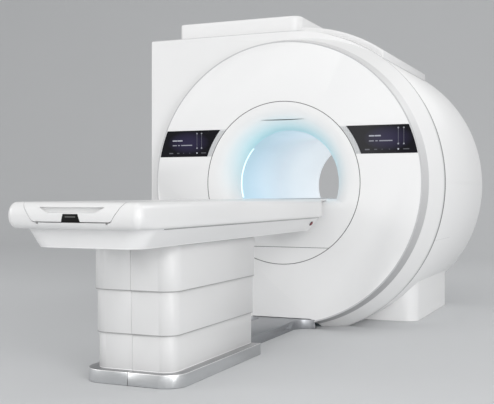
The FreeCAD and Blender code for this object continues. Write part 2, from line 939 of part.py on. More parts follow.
# ---------------------------------------------------------------- pedestal and base
def pedestal_plan(inset, z):
    front, rear = pedestal_front + inset, pedestal_rear - inset
    half = pedestal_half_width - inset
    r, s = pedestal_corner_radius - inset, max(pedestal_rear_radius - inset, 3)
    return outline([(-half, front, r), (half, front, r), (half, rear, s),
                    (-half, rear, s)], in_plan(z))


def skirt(step, bottom, top):
    """One ring of the pedestal's telescopic cover; step 0 is the outermost."""
    inset = step * skirt_step
    height = V(0, 0, top - bottom)
    shell = prism(pedestal_plan(inset, bottom), height).cut(
        prism(pedestal_plan(inset + skirt_wall, bottom), height))
    if step < 2:
        rim = V(0, 0, skirt_wall)
        lip = prism(pedestal_plan(inset + skirt_wall, bottom), rim).cut(
            prism(pedestal_plan(inset + skirt_step - 2 * seat, bottom), rim))
        shell = shell.fuse(lip).removeSplitter()
    return shell


def middle_top():
    return under_bottom - lift_travel / 2 - lift_gap


def fixed_top():
    return under_bottom - lift_travel - 2 * lift_gap - column_wall


def upper_skirt_left():
    return half_of(skirt(0, upper_seam, under_bottom), -1)


def upper_skirt_right():
    return half_of(skirt(0, upper_seam, under_bottom), 1)


def middle_skirt_left():
    return half_of(skirt(1, lower_seam, middle_top()), -1)


def middle_skirt_right():
    return half_of(skirt(1, lower_seam, middle_top()), 1)


def lower_skirt_left():
    return half_of(skirt(2, base_height, lower_seam + skirt_overlap), -1)


def lower_skirt_right():
    return half_of(skirt(2, base_height, lower_seam + skirt_overlap), 1)


def columns(step, bottom, top):
    """One stage of the two lifting columns; step 0 is the outermost tube."""
    half = column_width / 2 - step * (column_wall + seat)
    shapes = []
    for y in (column_front, column_rear):
        tube = block(-half, half, y - half, y + half, bottom, top)
        core = half - column_wall
        shapes.append(tube.cut(block(-core, core, y - core, y + core, bottom, top)))
    return grouped(shapes)


def column_outer():
    return columns(0, frame_height(), fixed_top())


def column_middle():
    bottom = frame_height() + lift_travel / 2 + lift_gap
    return columns(1, bottom, middle_top() - column_wall)


def column_inner():
    return columns(2, frame_height() + lift_travel + lift_gap, under_bottom)


def middle_carrier():
    """Plate on the middle stage that carries the middle ring of covers."""
    low = middle_top() - column_wall
    plate = prism(pedestal_plan(skirt_step + skirt_wall, low), V(0, 0, column_wall))
    half = column_width / 2 - 2 * (column_wall + seat) + seat
    ways = [block(-half, half, y - half, y + half, 0, far)
            for y in (column_front, column_rear)]
    middle = (column_front + column_rear) / 2
    reach = (column_rear - column_front) / 2 - column_width
    ways.append(block(-column_width, column_width, middle - reach, middle + reach, 0, far))
    return plate.cut(ways)


def frame_height():
    return base_height - base_wall - seat


def base_frame():
    """Steel frame on the floor that both columns stand on."""
    half = pedestal_half_width - 3 * skirt_step
    front, rear = column_front - column_width, column_rear + column_width
    frame = block(-half, half, front, rear, 0, frame_height())
    middle = (front + rear) / 2
    opening = block(-half + frame_beam, half - frame_beam, middle - frame_window / 2,
                    middle + frame_window / 2, 0, far)
    return frame.cut(opening)


def base_plan(inset, z):
    r = base_corner_radius - inset
    half = base_half_width - inset
    return outline([(-half, base_front + inset, r), (half, base_front + inset, r),
                    (half, base_rear - inset, 0), (-half, base_rear - inset, 0)],
                   in_plan(z))


def base_trim(side):
    """Half of the aluminium trim round the base, with the ledge that the covers stand on."""
    full = V(0, 0, base_height)
    shell = prism(base_plan(0, 0), full)
    shell = shell.cut(prism(base_plan(base_wall, 0), V(0, 0, base_height - base_wall)))
    half = pedestal_half_width - 4 * skirt_step
    way = block(-half, half, pedestal_front + 4 * skirt_step + pedestal_corner_radius / 3,
                base_rear - base_wall - 2 * skirt_step, 0, far)
    return half_of(shell.cut(way), side)


def base_trim_left():
    return base_trim(-1)


def base_trim_right():
    return base_trim(1)


def dock_plate():
    """Floor duct from the table's base to the gantry, widening where it meets the gantry."""
    start, turn, end = base_rear + seat, dock_flare_start, dock_end
    narrow, wide = dock_half_width, dock_flare_half_width

    def side(sign):
        a, b, c = V(sign * narrow, turn, 0), V(sign * wide, 0, 0), V(sign * wide, end, 0)
        swell = V(sign * (narrow + (wide - narrow) * dock_swell), turn * dock_bend, 0)
        return a, swell, b, c
    a, m, b, c = side(1)
    d, n, e, f = side(-1)
    s, t = V(narrow, start, 0), V(-narrow, start, 0)
    edges = [
        Part.LineSegment(s, a).toShape(), Part.Arc(a, m, b).toShape(),
        Part.LineSegment(b, c).toShape(), Part.LineSegment(c, f).toShape(),
        Part.LineSegment(f, e).toShape(), Part.Arc(e, n, d).toShape(),
        Part.LineSegment(d, t).toShape(), Part.LineSegment(t, s).toShape()]
    plate = prism(Part.Wire(edges), V(0, 0, dock_height))
    recess_rear = turn - dock_recess_setback
    recess = block(narrow - dock_recess_depth, far, recess_rear - dock_recess_length,
                   recess_rear, dock_recess_bottom, dock_recess_top)
    return plate.cut([recess, mirrored(recess)]).common(
        dock_opening(-far, far, 0).fuse(block(-far, far, -far, 0, 0, dock_height)))


# ---------------------------------------------------------------- export
PARTS = [
    magnet_vessel, gradient_coil, cold_head, magnet_feet, bore_tube, front_flare,
    flare_apron, flare_lower_panel, bore_lights, face_panel, display_left, display_right,
    grille_left, grille_right, front_cover, cover_back, barrel_cover_left,
    barrel_cover_right, saddle_cover, turret_cover, rear_cover, rear_flare,
    foot_cover_left, foot_cover_right, cover_brackets,
    table_body, cradle, cradle_end_cap, cradle_latch, bridge, table_underbody,
    stop_button_left, stop_button_right, belt_clamp, drive_pulley, idler_pulley, drive_belt,
    pulley_brackets, drive_motor, upper_skirt_left, upper_skirt_right, middle_skirt_left,
    middle_skirt_right, lower_skirt_left, lower_skirt_right, column_outer, column_middle,
    column_inner, middle_carrier, base_frame, base_trim_left, base_trim_right, dock_plate,
]

os.makedirs("parts", exist_ok=True)
for make in PARTS:
    shape = make()
    solids = shape.Solids
    volume = sum(solid.Volume for solid in solids) / 1e6
    print(f"{make.__name__:22s} {len(solids):3d} solids {volume:9.2f} litres")
    shape.exportStep(f"parts/{make.__name__}.step")
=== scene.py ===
# %% [markdown]
# # A magnetic resonance scanner, dressed in Blender
#
# The construction of this machine is finished before this lesson starts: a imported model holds
# every piece at its real size. Here the same pieces get the looks of the real thing, which is
# almost all satin white paint, so its character comes from soft edges, thin seams, one cold
# light inside the bore and a few dark or metal details.
#
# Everything is in metres. X is across, Y runs from the table into the bore, Z is up, and the
# origin is on the floor under the bore's axis, in the plane of the front face.

# %% Load the frame
import math
from contextlib import contextmanager

import bmesh
import bpy
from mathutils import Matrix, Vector


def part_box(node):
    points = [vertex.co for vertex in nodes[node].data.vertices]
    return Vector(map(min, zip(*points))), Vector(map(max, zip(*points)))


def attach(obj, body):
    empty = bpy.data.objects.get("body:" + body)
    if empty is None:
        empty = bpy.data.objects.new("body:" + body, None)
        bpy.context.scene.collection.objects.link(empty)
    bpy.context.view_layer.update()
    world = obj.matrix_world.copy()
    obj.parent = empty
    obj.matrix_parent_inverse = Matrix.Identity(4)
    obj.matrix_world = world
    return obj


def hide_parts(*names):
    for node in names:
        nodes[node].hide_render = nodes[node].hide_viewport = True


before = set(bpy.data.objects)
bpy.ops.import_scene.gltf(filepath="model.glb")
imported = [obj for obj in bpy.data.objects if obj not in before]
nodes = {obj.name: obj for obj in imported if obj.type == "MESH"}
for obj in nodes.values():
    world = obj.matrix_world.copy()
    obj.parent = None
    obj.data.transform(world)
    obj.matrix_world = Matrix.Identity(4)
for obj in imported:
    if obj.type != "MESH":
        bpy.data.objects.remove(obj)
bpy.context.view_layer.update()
print("pieces in the frame:", len(nodes))

# %% [markdown]
# ## Working by hand, in code
#
# Blender's operators act on whatever is selected, and a freshly loaded model is selected all
# over. So each step starts from an empty selection. `editing` opens one piece in edit mode,
# and `pick` selects its corners, edges or faces by a test on their place or direction, which is
# the same as clicking on them, but gives the same result every time.

# %% Selecting
def deselect():
    if bpy.context.object and bpy.context.object.mode != "OBJECT":
        bpy.ops.object.mode_set(mode="OBJECT")
    bpy.ops.object.select_all(action="DESELECT")


def activate(piece):
    deselect()
    piece.select_set(True)
    bpy.context.view_layer.objects.active = piece


@contextmanager
def editing(piece):
    activate(piece)
    bpy.ops.object.mode_set(mode="EDIT")
    bpy.ops.mesh.select_mode(type="VERT")
    bpy.ops.mesh.select_all(action="DESELECT")
    yield
    bpy.ops.object.mode_set(mode="OBJECT")
    piece.select_set(False)


def pick(piece, kind, test):
    bpy.ops.mesh.select_all(action="DESELECT")
    bpy.ops.mesh.select_mode(type=kind)
    mesh = bmesh.from_edit_mesh(piece.data)
    for part in {"VERT": mesh.verts, "EDGE": mesh.edges, "FACE": mesh.faces}[kind]:
        if test(part):
            part.select_set(True)
    bmesh.update_edit_mesh(piece.data)


# %% [markdown]
# ## Finding an edge
#
# Most roundings sit on edges that two things tell apart: where the middle of the edge is, and
# which way it runs. Picking edges by their numbers would be shorter, but the numbers change
# with every cut, and a place doesn't.

# %% Reading the place of an edge
def middle(edge):
    return (edge.verts[0].co + edge.verts[1].co) / 2


def along(edge, axis):
    """Whether an edge runs along axis 0, 1 or 2."""
    run = edge.verts[1].co - edge.verts[0].co
    return abs(run[axis]) > 0.999 * run.length


def rise_of(edge):
    return abs(edge.verts[0].co.z - edge.verts[1].co.z)


# %% [markdown]
# ## Blocks
#
# The table, its pedestal and the turret on the gantry are blocks with rounded edges. Such a
# block starts as a cube that is stretched to its two opposite corners. The stretch is applied
# to the mesh at once, because a bevel on a stretched object comes out stretched as well. Where
# the sides lean, only the top face is made wider or narrower.

# %% Blocks with rounded edges
def new_piece(name):
    """Names the new object and puts its place and scale into its mesh."""
    piece = bpy.context.object
    piece.name = piece.data.name = name
    bpy.ops.object.transform_apply(location=True, rotation=True, scale=True)
    deselect()
    return piece


def block(name, low, high):
    low, high = Vector(low), Vector(high)
    deselect()
    bpy.ops.mesh.primitive_cube_add(size=1, location=(low + high) / 2, scale=high - low)
    return new_piece(name)


def leaning_block(name, low, high, low_half, high_half):
    """Block whose sides lean: it has one half width at its foot and another at its top."""
    piece = block(name, (-low_half, *low), (low_half, *high))
    with editing(piece):
        pick(piece, "FACE", lambda f: f.normal.z > 0.9)
        bpy.ops.transform.resize(value=(high_half / low_half, 1, 1))
    return piece


def round_edges(piece, test, radius, segments=8):
    with editing(piece):
        pick(piece, "EDGE", test)
        bpy.ops.mesh.bevel(offset=radius, segments=segments, affect="EDGES")


# %% [markdown]
# ## Turned forms
#
# Face, trumpet, barrel and rear cover are round about the bore's axis, which the magnet gives.
# They could be cut from cylinders, but each is a thin wall with one section all the way round,
# so the section is drawn and spun: one corner is extruded from point to point, and the outline
# that it leaves is turned once round. A spin ends where it starts, so the doubles are merged,
# and then the normals are made to point outwards.

# %% Turned forms and rods
magnet_low, magnet_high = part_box("magnet_vessel")
axis_height = (magnet_low.z + magnet_high.z) / 2
print("height of the bore's axis:", round(axis_height, 4))


def turned(name, section, steps=144):
    """Spins a wall's section, (radius, y) points, about the bore's axis."""
    deselect()
    radius, y = section[0]
    bpy.ops.mesh.primitive_circle_add(vertices=3, radius=0.01, location=(radius, y, axis_height))
    piece = new_piece(name)
    with editing(piece):
        bpy.ops.mesh.select_all(action="SELECT")
        bpy.ops.mesh.merge(type="CENTER")
        for (r0, y0), (r1, y1) in zip(section, section[1:] + section[:1]):
            bpy.ops.mesh.extrude_region_move(
                TRANSFORM_OT_translate={"value": (r1 - r0, y1 - y0, 0)})
        bpy.ops.mesh.select_all(action="SELECT")
        bpy.ops.mesh.spin(steps=steps, angle=math.tau, center=(0, 0, axis_height),
                          axis=(0, 1, 0))
        bpy.ops.mesh.select_all(action="SELECT")
        bpy.ops.mesh.remove_doubles(threshold=1e-4)
        bpy.ops.mesh.normals_make_consistent(inside=False)
    return piece


def hoop(name, inner, outer, front, rear, steps=240):
    """Turned form with a plain rectangle as its section."""
    return turned(name, [(inner, front), (outer, front), (outer, rear), (inner, rear)], steps)


def quarter(wide, wide_y, narrow, narrow_y, steps):
    """Section of a quarter ellipse that is flat where it is wide and straight where narrow."""
    points = []
    for step in range(steps + 1):
        turn = math.pi / 2 * step / steps
        points.append((wide - (wide - narrow) * math.sin(turn),
                       narrow_y - (narrow_y - wide_y) * math.cos(turn)))
    return points


def rod(name, radius, length, centre, sides=192, stretch=(1, 1, 1)):
    """Cylinder that lies along the bore."""
    deselect()
    bpy.ops.mesh.primitive_cylinder_add(vertices=sides, radius=radius, depth=length, scale=stretch,
                                        rotation=(math.pi / 2, 0, 0), location=centre)
    return new_piece(name)


# %% [markdown]
# ## Cutting, joining and softening
#
# A straight cut is a bisect, which closes the cut as well. Any other cut is a boolean, with a
# form as its tool that is thrown away afterwards. Nothing that is moulded or painted has a
# truly sharp edge, so most pieces end with a narrow bevel, and that is what catches a line of
# light. A piece whose shape is already right in the frame is copied from there, and its loose
# triangles are merged into whole faces first, because a bevel needs real edges.

# %% Cutting and joining
def slice_off(piece, point, normal):
    """Cuts away what lies beyond a plane, on the side that the normal points to."""
    with editing(piece):
        bpy.ops.mesh.select_all(action="SELECT")
        bpy.ops.mesh.bisect(plane_co=point, plane_no=normal, use_fill=True, clear_outer=True)


def cut_below(piece, height):
    slice_off(piece, (0, 0, height), (0, 0, -1))


def cut_above(piece, height):
    slice_off(piece, (0, 0, height), (0, 0, 1))


def apply_modifier(piece, kind, **settings):
    activate(piece)
    modifier = piece.modifiers.new(kind.title(), kind)
    for name, value in settings.items():
        setattr(modifier, name, value)
    bpy.ops.object.modifier_apply(modifier=modifier.name)
    deselect()


def combine(piece, tool, operation="DIFFERENCE"):
    """Cuts a piece by a tool, or keeps what they share, and throws the tool away."""
    apply_modifier(piece, "BOOLEAN", object=tool, operation=operation, solver="EXACT")
    bpy.data.objects.remove(tool)


def join(piece, other):
    """Makes one piece of two, under the first one's name."""
    activate(piece)
    other.select_set(True)
    bpy.ops.object.join()


# %% Softening and copying
def soften(piece, width, segments=2, angle=30):
    """Small round on every sharp edge, as moulded and painted covers have."""
    apply_modifier(piece, "BEVEL", width=width, segments=segments, limit_method="ANGLE",
                   angle_limit=math.radians(angle), miter_outer="MITER_ARC",
                   harden_normals=True)


def copy_of(node, name):
    """Own copy of a node's shape, with its loose triangles merged into whole faces."""
    piece = bpy.data.objects.new(name, nodes[node].data.copy())
    bpy.context.collection.objects.link(piece)
    piece.data.name = name
    with editing(piece):
        bpy.ops.mesh.select_all(action="SELECT")
        bpy.ops.mesh.remove_doubles(threshold=2e-5)
        bpy.ops.mesh.dissolve_limited(angle_limit=math.radians(0.5))
    return piece


# %% [markdown]
# ## Shader maths that reads like maths
#
# A material is a graph of small nodes. Written out one by one, even a simple mask takes a page,
# so one class wraps the output of a node and gives it Python's arithmetic. `abs(x) < 0.03` then
# adds two Math nodes and is 1 where it holds and 0 elsewhere, and a product of such tests is a
# mask.

# %% Signals
class Signal:
    def __init__(self, finish, socket):
        self.finish, self.socket = finish, socket

    def maths(self, operation, *values):
        return self.finish.node("Math", {"operation": operation}, dict(enumerate(values)))

    def __add__(self, other):
        return self.maths("ADD", self, other)

    def __sub__(self, other):
        return self.maths("SUBTRACT", self, other)

    def __rsub__(self, other):
        return self.maths("SUBTRACT", other, self)

    def __mul__(self, other):
        return self.maths("MULTIPLY", self, other)

    def __truediv__(self, other):
        return self.maths("DIVIDE", self, other)

    def __pow__(self, other):
        return self.maths("POWER", self, other)

    def __lt__(self, other):
        return self.maths("LESS_THAN", self, other)

    def __gt__(self, other):
        return self.maths("GREATER_THAN", self, other)

    def __abs__(self):
        return self.maths("ABSOLUTE", self)

    def bounded(self):
        """Held between 0 and 1."""
        return self.finish.node("Clamp", {}, {0: self})

    __radd__, __rmul__ = __add__, __mul__


# %% [markdown]
# ## A material in the making
#
# A second class holds the material itself. Its one method `node` adds any node from its type,
# its settings and what its sockets get, and short methods give the few that come back all the
# time. All patterns read the piece's own coordinates in metres, so a grain has the same size
# on a large cover and on a small button, and a line can be put at a height that is measured.

# %% Finishes
class Finish:
    def __init__(self, name, **constants):
        self.material = bpy.data.materials.new(name)
        self.material.use_nodes = True
        self.tree = self.material.node_tree
        self.shader = self.tree.nodes["Principled BSDF"]
        for socket, value in constants.items():
            self.set(socket.replace("_", " "), value)

    def node(self, kind, settings, sockets, output=0):
        node = self.tree.nodes.new("ShaderNode" + kind)
        for name, value in settings.items():
            if name == "stops":
                while len(node.color_ramp.elements) < len(value):
                    node.color_ramp.elements.new(1)
                for element, (place, colour) in zip(node.color_ramp.elements, value):
                    element.position, element.color = place, (*colour, 1)
            else:
                setattr(node, name, value)
        for name, value in sockets.items():
            self.feed(node.inputs[name], value)
        return Signal(self, node.outputs[output])

    def feed(self, socket, value):
        if isinstance(value, Signal):
            self.tree.links.new(value.socket, socket)
        elif isinstance(value, tuple) and len(value) == 3 and len(socket.default_value) == 4:
            socket.default_value = (*value, 1)
        else:
            socket.default_value = value

    def set(self, socket, value):
        self.feed(self.shader.inputs[socket], value)

    def place(self):
        """The piece's own coordinates, in metres, and their three parts."""
        here = self.node("TexCoord", {}, {}, output="Object")
        parts = [self.node("SeparateXYZ", {}, {0: here}, output=i) for i in range(3)]
        return here, parts

    def noise(self, here, scale, detail=2, stretch=(1, 1, 1)):
        spread = self.node("Mapping", {}, {"Vector": here, "Scale": stretch})
        return self.node("TexNoise", {}, {"Vector": spread, "Scale": scale, "Detail": detail})

    def ramp(self, share, *stops):
        """Colour that runs through stops, each a place from 0 to 1 and a colour."""
        return self.node("ValToRGB", {"stops": stops}, {"Fac": share})

    def between(self, share, first, second):
        """Mixes two colours by a share from 0 to 1."""
        return self.node("Mix", {"data_type": "RGBA"},
                         {"Factor": share, 6: first, 7: second}, output=2)

    def marked(self, colour, parts, marks):
        """Lays marks over a colour: each is a test on x, y, z and the tint where it holds."""
        for test, tint in marks:
            colour = self.between(test(*parts), colour, tint)
        return colour

    def bump(self, height, distance, strength):
        self.set("Normal", self.node(
            "Bump", {}, {"Height": height, "Distance": distance, "Strength": strength}))


# %% [markdown]
# ## The paint
#
# The covers are sprayed with a two-part lacquer. Up close it isn't quite smooth: the drops
# level out to a faint orange peel, and the gloss changes a little from place to place. A pale
# machine with none of that looks like plaster. The same recipe serves every white cover, with
# its tint and its gloss as arguments, and with marks laid where they lie, by their place: seams
# too thin to be worth a mesh, and painted shade, shadow lines and highlights.

# %% Lacquered covers
peel_scale = 260.0  # drops of lacquer, about 4 mm apart


def grey(level):
    return level, level, level


def darker(tint, share):
    return tuple(part * share for part in tint)


def lacquer(name, tint, roughness, coat, *marks):
    finish = Finish(name, Coat_Roughness=0.08)
    here, parts = finish.place()
    clouds = finish.noise(here, 3.0)
    paint = finish.between(clouds, darker(tint, 0.985), tint)
    finish.set("Base Color", finish.marked(paint, parts, marks))
    finish.set("Roughness", clouds * 0.06 + (roughness - 0.03))
    finish.set("Coat Weight", clouds * 0.1 + (coat - 0.05))
    finish.bump(finish.noise(here, peel_scale, detail=1), 0.0002, 0.35)
    return finish.material


gantry_white = grey(0.84)
gantry_paint = lacquer("gantry lacquer", gantry_white, 0.42, 0.08)
table_paint = lacquer("table lacquer", grey(0.77), 0.34, 0.3)
print("paints:", gantry_paint.name, "and", table_paint.name)

# %% [markdown]
# ## Plastic, rubber and metal
#
# The other recipes are plainer, but none is one flat colour, because even moulded plastic has a
# grain. Brushed metal is one noise that is squeezed across the brushing: it drives the tint, a
# fine relief and the roughness together, as the same scratches do on the real thing.

# %% Moulded and brushed finishes
def moulded(name, tint, roughness, *marks, grain=420.0, **constants):
    finish = Finish(name, **constants)
    here, parts = finish.place()
    specks = finish.noise(here, grain, detail=3)
    plastic = finish.between(specks, darker(tint, 0.9), tint)
    finish.set("Base Color", finish.marked(plastic, parts, marks))
    finish.set("Roughness", specks * 0.12 + (roughness - 0.06))
    finish.bump(specks, 0.0002, 0.4)
    return finish.material


def brushed(name, tint, stretch, roughness, *marks):
    finish = Finish(name, Metallic=1.0)
    here, parts = finish.place()
    lines = finish.noise(here, 18.0, detail=6, stretch=stretch)
    metal = finish.between(lines, darker(tint, 0.86), tint)
    finish.set("Base Color", finish.marked(metal, parts, marks))
    finish.set("Roughness", lines * 0.18 + (roughness - 0.09))
    finish.bump(lines, 0.0003, 0.25)
    return finish.material


# %% [markdown]
# ## Handing a piece over
#
# Each finished piece rides on the body that carries it, takes the place of the node it was
# modelled on, and gets its finish. The smoothing comes last, so that it sees the final edges:
# what meets at a small angle is shaded as one surface, and what meets at a large one stays
# crisp.

# %% Dress a piece
made = []


def dress(piece, body, finish, slot, *replaced, smooth=35):
    activate(piece)
    bpy.ops.object.shade_smooth_by_angle(angle=math.radians(smooth))
    deselect()
    piece.data.materials.clear()
    piece.data.materials.append(finish)
    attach(piece, body)
    if replaced:
        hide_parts(*replaced)
    made.append(piece)
    print(piece.name, "has", len(piece.data.polygons), "faces")


def dress_copy(node, name, width, body, finish, slot, segments=2, smooth=35):
    """Dresses a copy of the node's own shape, with its edges eased."""
    piece = copy_of(node, name)
    soften(piece, width, segments)
    dress(piece, body, finish, slot, node, smooth=smooth)


# %% [markdown]
# ## Paint of the trumpet
#
# The trumpet in front of the bore is white at its rim and takes on a cold blue towards the
# bore, where light guides shine along it. Lamps in the bore could give that, but their light
# would be noisy and hard to steer, so the paint carries it: one colour ramp over the distance
# from the axis for the tint, and one for a weak glow. Both fade out towards the runway, where
# the guides don't reach.

# %% Trumpet paint
bore_radius, trumpet_radius, trumpet_depth = 0.375, 0.566, 0.160
dark_below, light_over = 0.90, 0.40  # no glow below this height, full glow this far above it


def from_axis(x, z):
    up = z - axis_height
    return (x * x + up * up) ** 0.5


def trumpet_paint():
    finish = Finish("trumpet lacquer", Roughness=0.45, Coat_Weight=0.05, Emission_Strength=0.35)
    here, (x, y, z) = finish.place()
    share = ((from_axis(x, z) - bore_radius) / (trumpet_radius - bore_radius)).bounded()
    tint = finish.ramp(share, (0.0, (0.52, 0.74, 0.79)), (0.22, (0.68, 0.81, 0.85)),
                       (0.55, (0.82, 0.84, 0.85)), (0.85, gantry_white))
    glow = finish.ramp(share, (0.0, (0.22, 0.46, 0.50)), (0.25, (0.12, 0.22, 0.25)),
                       (0.7, grey(0.0)))
    lit = ((z - dark_below) / light_over).bounded()
    finish.set("Base Color", finish.between(lit, gantry_white, tint))
    finish.set("Emission Color", finish.between(lit, grey(0.0), glow))
    finish.bump(finish.noise(here, peel_scale, detail=1), 0.0002, 0.3)
    return finish.material


trumpet_finish = trumpet_paint()
print("trumpet: from", bore_radius, "to", trumpet_radius, "m from the axis")

# %% [markdown]
# ## Bore wall and light guides
#
# The wall of the bore starts in the blue that the trumpet ends with and turns white further in,
# where light comes in from the far end. That light is painted: a ramp over the depth for the
# colour and one for a weak glow of the wall. The guides are frosted strips with lamps behind
# them: a glow with a slow change along the strip, weak enough that the strip still shows its
# colour.

# %% Paint of the bore and the guides
white_depth = 1.2


def liner_paint():
    finish = Finish("bore liner", Coat_Weight=0.3, Emission_Strength=0.5)
    here, (x, y, z) = finish.place()
    depth = ((y - trumpet_depth) / white_depth).bounded()
    # painted light: the wall turns whiter and glows more with depth, as if lit from the far end
    finish.set("Base Color", finish.ramp(
        depth, (0.0, (0.50, 0.66, 0.74)), (0.35, (0.66, 0.76, 0.83)), (0.9, (0.86, 0.88, 0.90))))
    finish.set("Emission Color", finish.ramp(
        depth, (0.0, (0.24, 0.36, 0.42)), (0.4, (0.40, 0.47, 0.52)), (1.0, (0.62, 0.68, 0.72))))
    finish.set("Roughness", finish.noise(here, 8.0) * 0.08 + 0.30)
    finish.bump(finish.noise(here, 180.0, detail=1), 0.0002, 0.4)
    return finish.material


def guide_glow():
    finish = Finish("light guide", Base_Color=(0.8, 0.95, 1.0), Roughness=0.35,
                    Emission_Strength=0.66)
    here, _ = finish.place()
    finish.set("Emission Color", finish.between(
        finish.noise(here, 30.0), (0.66, 0.94, 1.0), (0.80, 1.0, 1.0)))
    return finish.material


liner_finish, guide_finish = liner_paint(), guide_glow()
print("finishes:", liner_finish.name, "and", guide_finish.name)

# %% [markdown]
# ## Trumpet
#
# A moulded shell between the face and the bore. Its inside is a quarter ellipse, so light slides
# along it with no break. Above the runway it is truly round. Below, it is drawn in further, up to
# a straight sill at the runway's height. A second form could be modelled for that, but it would
# have to meet the round one without a seam. So the whole trumpet is spun, and each column of
# corners below the runway is stretched away from its own point on the rim until its inner end
# lies on the sill.

# %% Trumpet shell with its straight sill
gantry = "gantry_and_base"
shell_wall = 0.006
runway_low, runway_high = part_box("bridge")
sill_drop = axis_height - runway_high.z
columns = 144


def trumpet(name):
    inside = quarter(trumpet_radius, 0, bore_radius, trumpet_depth, 20)
    outside = quarter(trumpet_radius, shell_wall, bore_radius + shell_wall, trumpet_depth, 8)
    piece = turned(name, inside + outside[::-1], columns)
    with editing(piece):
        for column in range(columns):
            turn = math.tau * column / columns
            across, up = math.cos(turn), math.sin(turn)
            if up * bore_radius > -sill_drop:
                continue
            pick(piece, "VERT", lambda v: abs(math.remainder(
                math.atan2(v.co.z - axis_height, v.co.x) - turn, math.tau)) < 0.01)
            reach = (trumpet_radius + sill_drop / up) / (trumpet_radius - bore_radius)
            bpy.ops.transform.resize(
                value=(reach, 1, reach),
                center_override=(trumpet_radius * across, 0, axis_height + trumpet_radius * up))
    return piece


shell = trumpet("trumpet_shell")
print("the sill lies", round(sill_drop, 4), "m below the axis")

# %% [markdown]
# ## Openings in the trumpet
#
# The runway's nose comes out through the trumpet: a trough with leaning sides and a thin rim at
# each side of it. Two plain tools a hair larger than that cut its way, and the same two cut it
# at the rear of the bore later. A narrow slot at the top blows air into the bore. It tapers to
# both ends, so its tool is a cylinder that is pressed flat.

# %% Way for the runway's nose, and the slot
far, tool_top = 3.0, 0.9
runway_gap, runway_rim = 0.0003, 0.012
trough_low_half, trough_high_half, nose_half = 0.218, 0.2904, 0.300
slot_height, slot_half_width, slot_half_opening = 1.445, 0.165, 0.0032
apron_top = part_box("flare_lower_panel")[1].z
apron_gap = 0.0030


def cut_runway_way(piece, rim_half):
    """Cuts the way for the runway: for its thin rims, and for the trough between them."""
    rim_low = runway_high.z - runway_rim - runway_gap
    rim_half += runway_gap
    combine(piece, block("rim_tool", (-rim_half, -far, rim_low), (rim_half, far, tool_top)))
    combine(piece, leaning_block(
        "trough_tool", (-far, runway_low.z - runway_gap), (far, tool_top),
        trough_low_half + runway_gap, trough_high_half + runway_gap))


cut_below(shell, apron_top + apron_gap)
cut_runway_way(shell, nose_half)
combine(shell, rod("slot_tool", 1, trumpet_depth, (0, trumpet_depth / 2 - 0.002, slot_height),
                   sides=64, stretch=(slot_half_width, slot_half_opening, 1)))
dress(shell, gantry, trumpet_finish, "flare_white", "front_flare", "flare_apron")

# %% [markdown]
# ## Apron of the trumpet
#
# The foot of the trumpet is an apron that is a piece of its own, and the gap above it shows as
# a dark line. An empty gap would show the inside of the machine, so a black strip of the same
# trumpet is set back a little in it, as painted shadow for the shade in the gap.

# %% Apron, and the shadow strip above it
shadow_strip_black = moulded("shadow gap seal", grey(0.03), 0.8, Specular_IOR_Level=0.1)
shadow_strip_depth = 0.0015

apron = trumpet("trumpet_apron")
cut_above(apron, apron_top)
dress(apron, gantry, trumpet_finish, "flare_white", "flare_lower_panel")

# black strip of painted shadow, set back in the gap above the apron
seal = trumpet("apron_shadow_strip")
cut_below(seal, apron_top)
cut_above(seal, apron_top + apron_gap)
with editing(seal):
    bpy.ops.mesh.select_all(action="SELECT")
    bpy.ops.transform.translate(value=(0, shadow_strip_depth, 0))
dress(seal, gantry, shadow_strip_black, "grille_grey")

# %% [markdown]
# ## Light guides
#
# One short strip of a ring at each side of the bore's front edge, from below the middle to high
# up. A turned form always goes all the way round, so a whole hoop is made and planes through
# the axis cut the strip out of it.

# %% Light guides
guide_inner, guide_outer, guide_front, guide_rear = 0.3738, 0.3765, 0.1595, 0.181
guide_high, guide_low = 42, -16  # degrees from the level through the axis

for side, sign in (("left", -1), ("right", 1)):
    guide = hoop("light_guide_" + side, guide_inner, guide_outer, guide_front, guide_rear)
    for angle, way in ((guide_high, 1), (guide_low, -1)):
        turn = math.radians(angle)
        slice_off(guide, (0, 0, axis_height),
                  (-sign * way * math.sin(turn), 0, way * math.cos(turn)))
    slice_off(guide, (0, 0, axis_height), (-sign, 0, 0))
    soften(guide, 0.0008)
    dress(guide, gantry, guide_finish, "light_guide", *(["bore_lights"] if sign < 0 else []))

# %% [markdown]
# ## Gaskets
#
# A rubber gasket lies round the trumpet and a grey seal round the face. Deep in the gap behind
# the front cover's lip a black strip is painted shadow, for the shade there. Drawn as paint they
# would be flat, but the first two stand a fraction of a millimetre proud and the third lies deep,
# so each is a hoop. The third would run into the floor, so it is cut off just above it.

# %% Gaskets, a seal and a shadow strip
gasket_rubber = moulded("gasket rubber", grey(0.12), 0.7)
seal_plastic = moulded("face seal plastic", (0.56, 0.56, 0.57), 0.5)
gasket_depth, gasket_foot = 0.0043, 0.012

# the third hoop is a black strip of painted shadow deep in the gap behind the lip
for name, inner, outer, y, finish in (
        ("trumpet_gasket", 0.5646, 0.5696, -0.0003, gasket_rubber),
        ("face_gasket", 0.9775, 0.9865, -0.0003, seal_plastic),
        ("lip_shadow_strip", 1.0600, 1.0825, 0.2425, shadow_strip_black)):
    gasket = hoop(name, inner, outer, y, y + gasket_depth)
    cut_below(gasket, gasket_foot)
    dress(gasket, gantry, finish, "grille_grey")

# %% [markdown]
# ## Paint of the front cover
#
# The cover's first slope turns away from the light and shows as a darker band round the face,
# darkest low down. A light that did this would have to leave the face beside it alone, so the
# band is painted shade. It is a test on the distance from the axis, and so is the painted
# shadow line in the gap at the lip. The painted shadow line along the top, under the turret, is a
# test on the height.

# %% Front cover paint
slope_inner, slope_outer = 0.9862, 1.0095
shade_top, shade_height, least_shade, more_shade = 1.45, 1.2, 0.2, 0.6
lip_inner, lip_left, top_line, top_front, line_strength = 1.0845, 0.25, 2.0725, 0.09, 0.45


